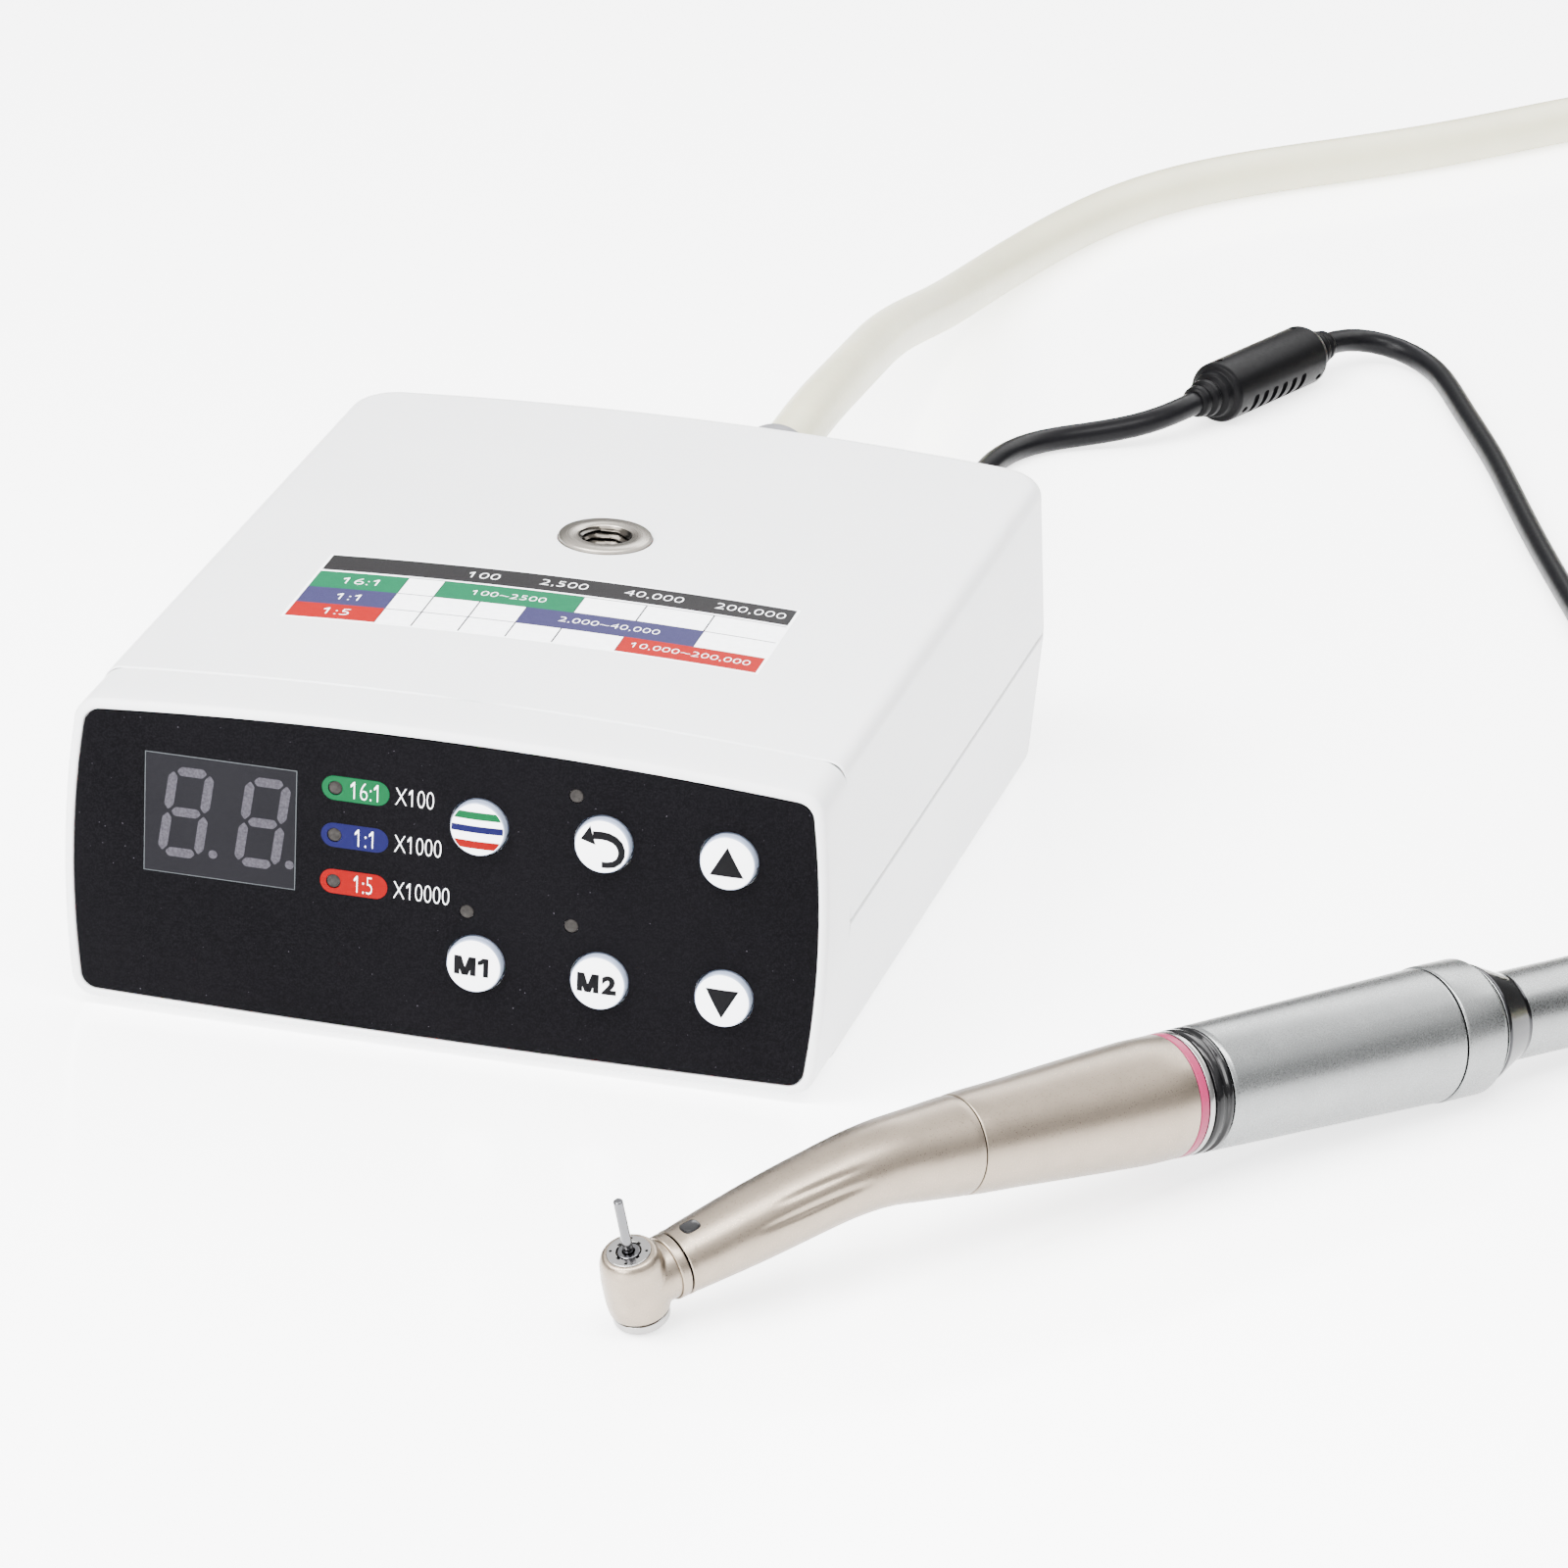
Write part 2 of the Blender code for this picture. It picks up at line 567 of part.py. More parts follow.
def fittings():
    low_flange = (CASE_TOP + CASE_CROWN) / MM + 0.3
    body, bore, flange = INSERT_BODY / MM, INSERT_BORE / MM, INSERT_FLANGE / MM
    here = Matrix.Translation((0, INSERT_Y, 0))
    turned("threaded_insert", "nickel", [
        (bore + 0.5, low_flange + 1.3), (flange - 0.4, low_flange + 1.3), (flange, low_flange + 0.9),
        (flange, low_flange), (body, low_flange), (body, 39), (bore, 39), (bore, low_flange + 0.8),
    ], DESK, here, 20, ring=True)
    turned("insert_nut", "steel", [(body + 0.6, 51.5), (9.5, 51.5), (9.5, 47.5), (body + 0.6, 47.5)],
           DESK, here, 12, ring=True)
    for i, (x, y) in enumerate(FOOT_SPOTS):
        r = FOOT_RADIUS / MM
        turned(f"foot_{i + 1}", "black_rubber", [(0, 2.1), (r, 2.1), (r, 0.4), (r - 0.5, 0), (0, 0)],
               DESK, Matrix.Translation((x, y, 0)), 12)
    for i, (x, y) in enumerate(SCREW_SPOTS):
        turned(f"case_screw_{i + 1}", "steel", [
            (0, 36), (0.8, 36), (1.25, 34.5), (1.25, 6.7), (2.7, 6.7), (2.7, 4.7), (2, 4.2), (0, 4.2),
        ], DESK, Matrix.Translation((x, y, 0)), 10)
    gland_length = (GLAND_END_Y - REAR_Y) / MM
    turned("hose_gland", "grey_plastic", [
        (4.95, gland_length), (6.1, gland_length), (6.6, gland_length - 1), (7.4, 4), (8.4, 3.4),
        (8.4, 0.3), (5.2, 0.3), (5.2, -6), (2.6, -6), (2.6, 12), (4.95, 12),
    ], DESK, facing_rear(GLAND_X, GLAND_Z), 18, ring=True)
    turned("dc_jack", "black_plastic", [
        (0, -0.6), (1, -0.6), (1, -9), (3.3, -9), (3.3, 0.9), (5.4, 0.9), (5.4, 0.3), (4, 0.3),
        (4, -11), (0, -11),
    ], DESK, facing_rear(JACK_X, JACK_Z), 14)
    inlet = turned("supply_inlet", "nickel", [
        (0, 12), (6.5, 12), (7, 11.5), (7, 2.3), (9.5, 2.3), (9.5, 0.3), (7, 0.3), (7, -9), (0, -9),
    ], DESK, facing_rear(SUPPLY_X, SUPPLY_Z), 18)
    for x, y, radius in ((0, 3.6, 1.5), (0, -3.6, 1.5), (3.6, 0, 1.1), (-3.6, 0, 1.1)):
        hole = place(rod_mesh(radius * MM, 4 * MM, 14 * MM, 12), "supply_bore", None, DESK,
                     facing_rear(SUPPLY_X, SUPPLY_Z) @ Matrix.Rotation(math.radians(10), 4, "Z")
                     @ Matrix.Translation((x * MM, y * MM, 0)))
        boolean(inlet, "DIFFERENCE", hole)
    main_board()


def main_board():
    board = place(
        box_mesh((-46 * MM, -45 * MM, 10 * MM), (46 * MM, 55 * MM, 11.6 * MM)),
        "main_board", "board_green", DESK,
    )
    blocks = [((-30, -25), (18, 12), 9), ((8, -28), (24, 18), 13), ((-14, 12), (14, 14), 4)]
    for (x, y), (wide, deep), high in blocks:
        low = Vector((x - wide / 2, y - deep / 2, 11)) * MM
        top = Vector((x + wide / 2, y + deep / 2, 11.6 + high)) * MM
        boolean(board, "UNION", place(box_mesh(low, top), "board_block", None, DESK))
    cans = rod_part("board_can", [(x * MM, 34 * MM) for x in (-24, -8, 8)], 5 * MM, 11 * MM, 27 * MM, DESK)
    boolean(board, "UNION", *cans)


# ---------------------------------------------------------------- cords
def coil_ring(name, kind, centre, middle, radius, margin=0.2):
    """The outer shape of a coil two turns wide and two high."""
    inner, outer = (middle - 2 * radius) / MM - margin, (middle + 2 * radius) / MM + margin
    high, soft = 4 * radius / MM + margin, radius / MM * 0.6
    turned(name, kind, [
        (inner + soft, high), (outer - soft, high), (outer, high - soft), (outer, soft),
        (outer - soft, 0), (inner + soft, 0), (inner, soft), (inner, high - soft),
    ], DESK, Matrix.Translation((centre[0] * MM, centre[1] * MM, 0)), 24, ring=True)


def cords():
    cord("motor_hose_near", "beige_silicone", HOSE_NEAR, HOSE_RADIUS)
    cord("motor_hose_far", "beige_silicone", HOSE_FAR, HOSE_RADIUS)
    coil_ring("motor_hose_coil", "beige_silicone", HOSE_COIL_CENTRE, HOSE_COIL_MIDDLE, HOSE_RADIUS)
    cord("power_cord_near", "lead_black", LEAD_NEAR, LEAD_RADIUS)
    cord("power_cord_far", "lead_black", LEAD_FAR, LEAD_RADIUS)
    cord("power_cord_tail", "lead_black", LEAD_TAIL, LEAD_RADIUS)
    coil_ring("power_cord_coil", "lead_black", LEAD_COIL_CENTRE, LEAD_COIL_MIDDLE, LEAD_RADIUS)
    turned("dc_plug", "black_plastic", [
        (0, 29.8), (2.5, 29.8), (3.2, 19), (5, 16), (5.2, 4), (4.9, 1.2), (2.8, 1.2), (2.8, -8.5),
        (1.35, -8.5), (1.35, 0), (0, 0),
    ], DESK, facing_rear(JACK_X, JACK_Z), 14)
    ferrite = along(FERRITE_FROM, FERRITE_TO)
    length = (Vector(FERRITE_TO) - Vector(FERRITE_FROM)).length
    core = length - 7.5
    turned("ferrite_core", "black_plastic", [
        (0, length), (2.9, length), (3.3, core + 0.5), (4.6, core + 0.5), (5.8, core - 0.8),
        (5.8, 8.3), (4.6, 7), (3.3, 7), (2.9, 0), (0, 0),
    ], DESK, ferrite, 16)
    adapter()


def adapter():
    """The power supply: a brick with a tapered strain relief and a recessed mains inlet."""
    low, high = ADAPTER_LOW, ADAPTER_HIGH
    brick = place(box_mesh(low, high), "power_adapter", "black_plastic", DESK)
    edges = brick.modifiers.new("round", "BEVEL")
    edges.width = 3 * MM
    edges.segments = 2
    x, z = (low.x + high.x) / 2, (low.z + high.z) / 2
    relief = turned("adapter_relief", None, [(0, 18), (2.8, 18), (4.2, 0), (4.2, -4), (0, -4)],
                    DESK, facing_front(x, z, low.y), 16)
    recess = place(
        box_mesh((x - 12 * MM, high.y - 15 * MM, z - 8.2 * MM),
                 (x + 12 * MM, high.y + MM, z + 8.2 * MM)),
        "inlet_recess", None, DESK,
    )
    boolean(brick, "UNION", relief)
    boolean(brick, "DIFFERENCE", recess)
    for dx, dz in ((-7, -2), (7, -2), (0, 3)):
        spot = Vector((x + dx * MM, 0, z + dz * MM))
        pin = place(
            box_mesh((spot.x - MM, high.y - 17 * MM, spot.z - 2 * MM),
                     (spot.x + MM, high.y - 3 * MM, spot.z + 2 * MM)),
            "inlet_pin", None, DESK,
        )
        boolean(brick, "UNION", pin)


# ---------------------------------------------------------------- motor
def motor():
    turned("motor_sleeve", "aluminium", [
        (9.7, 48.1), (10.8, 48.1), (10.8, 47.4), (9.95, 1.4), (9.6, 0.8), (9.3, 0.8), (9.3, 2),
        (9.7, 2),
    ], MOTOR, steps=20, ring=True)
    turned("motor_end_ring", "aluminium", [
        (4, 57.5), (10.4, 57.5), (11, 56.8), (11, 48.9), (10.6, 48.4), (9.35, 48.4), (9.35, 41),
        (5, 41), (5, 45.6), (3, 45.6), (3, 52), (4, 52),
    ], MOTOR, steps=20, ring=True)
    turned("hose_connector", "aluminium", [
        (0, 104), (5.4, 104), (6.6, 98), (7.2, 94), (7.2, 65), (10, 58.6), (10, 57.8), (3.7, 57.8),
        (3.7, 52.3), (0, 52.3),
    ], MOTOR, steps=20)
    turned("motor_nose", "steel", [
        (5.3, 8.4), (9.3, 8.4), (9.3, 2.3), (9, 2.3), (9, 0.8), (6.1, 0.8), (5.5, -1), (5.5, -22.5),
        (5, -23), (2.7, -23), (2.7, 3.6), (5.3, 3.6),
    ], MOTOR, steps=20, ring=True)
    turned("front_bearing", "steel", [(1.85, 7.7), (5, 7.7), (5, 3.9), (1.85, 3.9)], MOTOR,
           steps=14, ring=True)
    turned("rear_bearing", "steel", [(1.85, 45.3), (4.7, 45.3), (4.7, 41.5), (1.85, 41.5)], MOTOR,
           steps=14, ring=True)
    turned("stator", "copper", [(5.2, 38), (9.35, 38), (9.35, 10), (5.2, 10)], MOTOR,
           steps=16, ring=True)
    turned("seal_ring", "black_rubber", [
        (6.4, 0.5), (9.0, 0.5), (9.95, 0.2), (9.95, -2.4), (9.6, -2.9), (6.4, -2.9),
    ], MOTOR, steps=20, ring=True)
    rotor = turned("rotor", "steel", [
        (0, 45), (1.5, 45), (1.5, 37), (4.7, 37), (4.7, 11), (1.5, 11), (1.5, -18), (2.2, -18),
        (2.2, -21), (0, -21),
    ], DRIVE, steps=14)
    tang = place(box_mesh((-1.9 * MM, -0.5 * MM, -23 * MM), (1.9 * MM, 0.5 * MM, -20.5 * MM)),
                 "rotor_tang", None, DRIVE)
    boolean(rotor, "UNION", tang)


# ---------------------------------------------------------------- contra-angle
def gear_mesh(teeth, radius, cone, face, turn, hub_back, hub_front):
    """A straight bevel gear about Z whose cone's tip is the origin; teeth run towards the tip."""
    pitch = 2 * math.pi / teeth
    module = 2 * radius / teeth
    tip, root = 0.62 * module, 0.86 * module
    shape = [(-0.25, -root), (-0.12, tip), (0.12, tip), (0.25, -root)]
    length = radius / math.sin(cone)
    reach = radius / math.tan(cone)

    def build(bm):
        rings = []
        for scale in (1, 1 - face / length):
            ring = []
            for tooth in range(teeth):
                for share, rise in shape:
                    angle = turn + (tooth + share) * pitch
                    r = (radius + rise * math.cos(cone)) * scale
                    z = (reach - rise * math.sin(cone)) * scale
                    ring.append(bm.verts.new((r * math.cos(angle), r * math.sin(angle), z)))
            rings.append(ring)
        back, front = (bm.verts.new((0, 0, z)) for z in (hub_back, hub_front))
        count = len(rings[0])
        for i in range(count):
            j = (i + 1) % count
            bm.faces.new((rings[0][i], rings[0][j], rings[1][j], rings[1][i]))
            bm.faces.new((rings[0][j], rings[0][i], back))
            bm.faces.new((rings[1][i], rings[1][j], front))

    return mesh_of(build)


def cone_angle(teeth, mate, between):
    """Half-angle of a bevel gear's pitch cone, from both tooth counts and the shafts' angle."""
    return math.atan2(math.sin(between), mate / teeth + math.cos(between))


def drive_train():
    bend = math.radians(NECK_BEND)
    drive_cone = cone_angle(DRIVE_TEETH, IDLER_TEETH, bend)
    idler_cone = bend - drive_cone
    drive_reach = DRIVE_RADIUS / math.tan(drive_cone)
    idler_radius = DRIVE_RADIUS * IDLER_TEETH / DRIVE_TEETH
    idler_reach = idler_radius / math.tan(idler_cone)
    face = 2.5 * MM
    gear = gear_mesh(DRIVE_TEETH, DRIVE_RADIUS, drive_cone, face, 0, drive_reach + 0.2 * MM,
                     drive_reach - face - 0.2 * MM)
    at_bend = Matrix.Translation((0, 0, BEND_AT))
    drive_gear = place(gear, "drive_gear", None, DRIVE, at_bend)
    shaft = turned("drive_shaft", "steel", [
        (0, -21.3), (2.3, -21.3), (2.3, -26), (1.1, -27), (1.1, -52.5), (0, -52.5),
    ], DRIVE, steps=12)
    slot = place(box_mesh((-4 * MM, -0.8 * MM, -23.3 * MM), (4 * MM, 0.8 * MM, -20 * MM)),
                 "drive_slot", None, DRIVE)
    boolean(shaft, "UNION", drive_gear)
    boolean(shaft, "DIFFERENCE", slot)

    between = math.radians(180 + NECK_BEND - HEAD_LEAN)  # from the idler's axis to the pinion's
    crown_cone = cone_angle(CROWN_TEETH, PINION_TEETH, between)
    pinion_cone = between - crown_cone
    crown_reach = CROWN_RADIUS / math.tan(crown_cone)
    pinion_radius = CROWN_RADIUS * PINION_TEETH / CROWN_TEETH
    pinion_reach = pinion_radius / math.tan(pinion_cone)
    idler = turned("idler_shaft", "steel", [
        (0, idler_reach / MM + 1), (0.8, idler_reach / MM + 1), (0.8, -38), (0, -38),
    ], IDLER, steps=10)
    rear_gear = gear_mesh(IDLER_TEETH, idler_radius, idler_cone, face, math.pi / IDLER_TEETH,
                          idler_reach + 0.2 * MM, idler_reach - face - 0.2 * MM)
    crown_face = 1.3 * MM
    crown = gear_mesh(CROWN_TEETH, CROWN_RADIUS, crown_cone, crown_face, 0,
                      crown_reach + 1.6 * MM, crown_reach + 0.2 * MM)
    to_head = Matrix.Translation((0, 0, -BEND_TO_HEAD))
    boolean(idler, "UNION", place(rear_gear, "idler_gear", None, IDLER),
            place(crown, "crown_gear", None, IDLER, to_head))

    spindle = turned("chuck_spindle", "steel", [
        (0, 5.4), (1.55, 5.4), (1.55, -1.6), (0.85, -1.9), (0.85, -4.4), (0, -4.4),
    ], SPINDLE, steps=16)
    pinion = gear_mesh(PINION_TEETH, pinion_radius, pinion_cone, crown_face,
                       math.pi + math.pi / PINION_TEETH, pinion_reach + 0.3 * MM,
                       pinion_reach - crown_face)
    turned_down = Matrix.Rotation(math.pi, 4, "Y")
    boolean(spindle, "UNION", place(pinion, "pinion", None, SPINDLE, turned_down))
    bore = place(rod_mesh(1.1 * MM, -1.3 * MM, 7 * MM, 16), "spindle_bore", None, SPINDLE)
    boolean(spindle, "DIFFERENCE", bore)
    turned("bur", "steel", [
        (0, 16.9), (0.45, 16.8), (0.75, 16.2), (0.75, 10), (0.8, 9.6), (0.8, -1), (0, -1),
    ], SPINDLE, steps=12)


def contra_shells():
    turned("tail_sleeve", "satin_nickel", [
        (6.3, -3.2), (9.6, -3.2), (9.85, -3.5), (9.85, -4.4), (9.2, -4.4), (9.2, -6.3), (9.8, -6.3),
        (9.8, -12), (8.1, -44.3), (6.3, -44.3),
    ], CONTRA, steps=20, ring=True)
    turned("colour_ring", "pink_plastic", [
        (9.5, -4.7), (9.8, -4.7), (9.8, -6), (9.5, -6),
    ], CONTRA, steps=20, ring=True)
    neck_shell()
    head()


def neck_shell():
    """The bent tube between the tail and the head, narrowing as it goes."""
    stations = [
        (-44.6, 0, 8), (-50, 0, 7.6), (-56, 0, 7.15), (-60.5, 0, 6.8), (-65.8, -0.55, 6.5),
        (-71, -1.6, 6.3), (-78, -3.45, 6.2), (-86, -5.75, 5.95), (-92, -7.46, 5.6),
        (-98.2, -9.23, 5.2),
    ]
    points = [Vector((up, 0, z)) * MM for z, up, _ in stations]
    scales = [radius for _, _, radius in stations]
    guide = curve_object("neck_guide", points, MM, scales, caps=False)
    guide.data.bevel_resolution = 3
    CUTTERS.objects.link(guide)
    bpy.context.view_layer.update()
    evaluated = guide.evaluated_get(bpy.context.evaluated_depsgraph_get())
    mesh = bpy.data.meshes.new_from_object(evaluated)
    bpy.data.objects.remove(guide)
    mesh.materials.clear()
    neck = place(mesh, "neck_shell", "satin_nickel", CONTRA)
    wall = neck.modifiers.new("wall", "SOLIDIFY")
    wall.thickness = 0.8 * MM
    wall.offset = -1
    boolean(neck, "DIFFERENCE",
            place(rod_mesh(1.6 * MM, -2 * MM, 4 * MM, 16), "window_hole", None, CONTRA, NECK_WINDOW))
    turned("light_window", "smoked_lens", [(0, 0.5), (0.9, 0.3), (1.3, -0.1), (1.3, -0.9), (0, -0.9)],
           CONTRA, NECK_WINDOW, 16)


def head():
    housing = turned("head_housing", "satin_nickel", [
        (0, 6.9), (3.9, 6.9), (4.4, 6.3), (4.75, 5), (4.95, 1.5), (4.95, -2.5), (4.75, -4.6),
        (0, -4.6),
    ], CONTRA, HEAD_IN_CONTRA, 20)
    collar = place(rod_mesh(5 * MM, 2 * MM, 7.1 * MM, 20), "collar", None, CONTRA, COLLAR_IN_CONTRA)
    boolean(housing, "UNION", collar)
    cavity = place(rod_mesh(4.1 * MM, -6 * MM, 5.4 * MM, 18), "head_cavity", None, CONTRA,
                   HEAD_IN_CONTRA)
    mouth = place(rod_mesh(3.5 * MM, 5 * MM, 8 * MM, 18), "head_mouth", None, CONTRA, HEAD_IN_CONTRA)
    throat = place(rod_mesh(4.25 * MM, 0, 8 * MM, 18), "head_throat", None, CONTRA, COLLAR_IN_CONTRA)
    cap_room = place(rod_mesh(4.8 * MM, -8 * MM, -4.6 * MM), "cap_room", None, CONTRA, HEAD_IN_CONTRA)
    boolean(housing, "DIFFERENCE", cavity, mouth, throat, cap_room)
    face = turned("head_face", "nickel", [
        (1.1, 6.9), (3.2, 6.9), (3.2, 5.8), (1.1, 5.8),
    ], CONTRA, HEAD_IN_CONTRA, 18, ring=True)
    for angle in (45, 135, 225, 315):
        spin = Matrix.Rotation(math.radians(angle), 4, "Z")
        jet = place(rod_mesh(0.25 * MM, 6.4 * MM, 8 * MM, 8), "spray_hole", None, CONTRA,
                    HEAD_IN_CONTRA @ spin @ Matrix.Translation((2.4 * MM, 0, 0)))
        boolean(face, "DIFFERENCE", jet)
    turned("push_cap", "nickel", [
        (0, -5.9), (3.3, -5.9), (3.3, -4.2), (3.8, -4.2), (3.8, -5.4), (4.35, -5.4), (4.35, -6.3),
        (3.8, -6.9), (0, -6.9),
    ], CAP, steps=18)


# ---------------------------------------------------------------- assembly
for old in list(bpy.data.objects):
    bpy.data.objects.remove(old)
PARTS = new_collection(COLLECTION)
CUTTERS = new_collection("cutters")

DESK = empty("desk", Matrix.Translation(FRAME_SHIFT))
handpiece_place = (
    Matrix.Translation(HANDPIECE_PLACE)
    @ Matrix.Rotation(math.radians(HANDPIECE_YAW), 4, "Z")
    @ Matrix.Rotation(math.radians(HANDPIECE_PITCH), 4, "Y")
    @ Matrix.Rotation(math.radians(HANDPIECE_ROLL), 4, "X")
    @ Matrix(((0, 0, 1, 0), (0, -1, 0, 0), (1, 0, 0, 0), (0, 0, 0, 1)))
)
bend_in_contra = Matrix.Translation((0, 0, BEND_AT)) @ Matrix.Rotation(math.radians(NECK_BEND), 4, "Y")
COLLAR_IN_CONTRA = bend_in_contra @ Matrix.Translation((0, 0, -BEND_TO_HEAD))
HEAD_IN_CONTRA = COLLAR_IN_CONTRA @ Matrix.Rotation(math.radians(HEAD_LEAN - NECK_BEND), 4, "Y")
NECK_WINDOW = (
    COLLAR_IN_CONTRA @ Matrix.Translation((0, 0, 10.5 * MM))
    @ Matrix.Rotation(math.radians(90), 4, "Y") @ Matrix.Translation((0, 0, 5.3 * MM))
)
MOTOR = empty("motor_frame", handpiece_place, DESK)
CONTRA = empty("contra_frame", handpiece_place, DESK)
DRIVE = empty("drive_frame", handpiece_place, DESK)
IDLER = empty("idler_frame", handpiece_place @ bend_in_contra, DESK)
SPINDLE = empty("spindle_frame", handpiece_place @ HEAD_IN_CONTRA, DESK)
CAP = empty("cap_frame", handpiece_place @ HEAD_IN_CONTRA, DESK)

top_shell()
bottom_shell()
front()
buttons()
fittings()
cords()
motor()
drive_train()
contra_shells()
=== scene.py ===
"""Looks of the dental motor set: control box, handpiece, hose and power lead on a pale desk."""

import json
import math

import bmesh
import bpy
import numpy as np
from mathutils import Matrix, Vector


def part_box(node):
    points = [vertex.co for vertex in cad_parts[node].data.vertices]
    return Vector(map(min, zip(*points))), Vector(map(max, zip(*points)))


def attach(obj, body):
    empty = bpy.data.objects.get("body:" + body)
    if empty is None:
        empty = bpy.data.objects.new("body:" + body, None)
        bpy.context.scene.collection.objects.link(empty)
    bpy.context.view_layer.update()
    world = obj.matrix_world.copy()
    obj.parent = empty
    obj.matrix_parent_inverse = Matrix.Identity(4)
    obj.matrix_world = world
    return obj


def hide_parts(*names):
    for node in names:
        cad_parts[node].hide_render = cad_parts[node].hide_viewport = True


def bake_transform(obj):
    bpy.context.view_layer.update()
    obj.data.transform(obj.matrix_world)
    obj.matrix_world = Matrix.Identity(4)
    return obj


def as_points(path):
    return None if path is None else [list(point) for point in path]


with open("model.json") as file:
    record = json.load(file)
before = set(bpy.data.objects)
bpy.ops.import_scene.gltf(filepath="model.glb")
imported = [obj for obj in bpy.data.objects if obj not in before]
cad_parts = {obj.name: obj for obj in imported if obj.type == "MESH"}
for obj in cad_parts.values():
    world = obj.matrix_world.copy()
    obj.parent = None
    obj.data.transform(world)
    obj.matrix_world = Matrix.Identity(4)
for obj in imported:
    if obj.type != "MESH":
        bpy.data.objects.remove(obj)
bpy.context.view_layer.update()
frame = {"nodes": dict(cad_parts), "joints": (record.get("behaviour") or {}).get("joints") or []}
MM = 0.001


# ---------------------------------------------------------------- frames of reference
def turn(degrees, axis):
    return Matrix.Rotation(math.radians(degrees), 4, axis)


def move(x, y, z):
    return Matrix.Translation((x * MM, y * MM, z * MM))


FRONT_Y, REAR_Y = -77.4, 77.4  # mm, from the middle of the control box
bezel_low, bezel_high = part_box("front_bezel")
DESK = Matrix.Translation(
    ((bezel_low[0] + bezel_high[0]) / 2, bezel_low[1] - FRONT_Y * MM, 0)
)
JOINTS = {joint["name"]: joint for joint in frame["joints"]}


def joint_frame(name, up_from):
    """A matrix at a joint, Z along its axis and X towards the side that up_from points to."""
    z = Vector(JOINTS[name]["axis"]).normalized()
    x = (up_from - up_from.dot(z) * z).normalized()
    turned = Matrix((x, z.cross(x), z)).transposed().to_4x4()
    return Matrix.Translation(JOINTS[name]["pos_m"]) @ turned


BUR_WAY = Vector(JOINTS["bur_spin"]["axis"])
MOTOR = joint_frame("contra_swivel", BUR_WAY)
IDLER = joint_frame("idler_spin", BUR_WAY)
COLLAR = IDLER @ move(0, 0, -41.6)
HEAD = COLLAR @ turn(96, "Y")
WINDOW = COLLAR @ move(0, 0, 10.5) @ turn(90, "Y") @ move(0, 0, 5.3)


def spot(place, x, y, z):
    """The world point at x, y, z mm of place."""
    return place @ (Vector((x, y, z)) * MM)


def angles(count):
    return [2 * math.pi * k / count for k in range(count)]


def facing_front(x, z, y=FRONT_Y):
    return DESK @ move(x, y, z) @ turn(90, "X")


def facing_rear(x, z, y=REAR_Y):
    return DESK @ move(x, y, z) @ turn(-90, "X")


# ---------------------------------------------------------------- camera, light and desk
def link(obj):
    bpy.context.scene.collection.objects.link(obj)
    return obj


def camera():
    made = link(bpy.data.objects.new("camera", bpy.data.cameras.new("camera")))
    made.data.lens = 212
    made.data.sensor_width = 36
    made.data.clip_end = 20
    right = Vector((0.9665, 0.2536, 0.0380))
    forward = Vector((-0.2211, 0.8992, -0.3776))
    up = right.cross(forward)
    place = DESK @ Vector((0.3713, -1.3650, 0.5947))
    made.matrix_world = Matrix.Translation(place) @ Matrix((right, up, -forward)).transposed().to_4x4()
    bpy.context.scene.camera = made


def area_light(name, place, target, size, power):
    data = bpy.data.lights.new(name, "AREA")
    data.shape = "RECTANGLE"
    data.size, data.size_y = size
    data.energy = power
    made = link(bpy.data.objects.new(name, data))
    made.location = place
    made.rotation_euler = (Vector(target) - Vector(place)).to_track_quat("-Z", "Y").to_euler()


def studio():
    world = bpy.data.worlds.new("studio")
    bpy.context.scene.world = world
    world.use_nodes = True
    nodes, links = world.node_tree.nodes, world.node_tree.links
    coords = nodes.new("ShaderNodeTexCoord")
    split = nodes.new("ShaderNodeSeparateXYZ")
    links.new(coords.outputs["Generated"], split.inputs[0])
    skies = []
    for stops in (
        ((0.0, 0.35), (0.2, 0.42), (0.38, 0.5), (0.55, 0.85), (1.0, 1.0)),
        ((0.0, 0.2), (0.2, 0.08), (0.38, 0.05), (0.6, 0.8), (1.0, 1.0)),
    ):
        ramp = nodes.new("ShaderNodeValToRGB")
        ramp.color_ramp.interpolation = "EASE"
        for element, (at, grey) in zip(ramp.color_ramp.elements, (stops[0], stops[-1])):
            element.position, element.color = at, (grey, grey, grey, 1)
        for at, grey in stops[1:-1]:
            ramp.color_ramp.elements.new(at).color = (grey, grey, grey * 1.01, 1)
        links.new(split.outputs["Z"], ramp.inputs["Fac"])
        skies.append(ramp.outputs["Color"])
    far = ranged(world.node_tree, split.outputs["Y"], 0, 1, -0.15, 0.35)
    links.new(mixed(world.node_tree, far, *skies), nodes["Background"].inputs["Color"])
    nodes["Background"].inputs["Strength"].default_value = 3.2
    area_light("key", (-0.75, -0.55, 1.15), (0, 0, 0), (0.7, 0.7), 45)
    area_light("overhead", (0.15, -0.45, 1.3), (0.05, 0, 0), (1.7, 0.5), 55)
    area_light("front", (-0.7, -1.9, 0.85), (0, 0, 0), (1.2, 0.9), 75)
    area_light("back", (0.35, 1.1, 0.9), (0, 0.1, 0), (1.6, 0.5), 20)


# ---------------------------------------------------------------- materials
def node_material(name):
    made = bpy.data.materials.new(name)
    made.use_nodes = True
    tree = made.node_tree
    return made, tree, tree.nodes["Principled BSDF"]


def put(node, **values):
    """Set a node's inputs by name, with an underscore for each space."""
    for name, value in values.items():
        node.inputs[name.replace("_", " ")].default_value = value


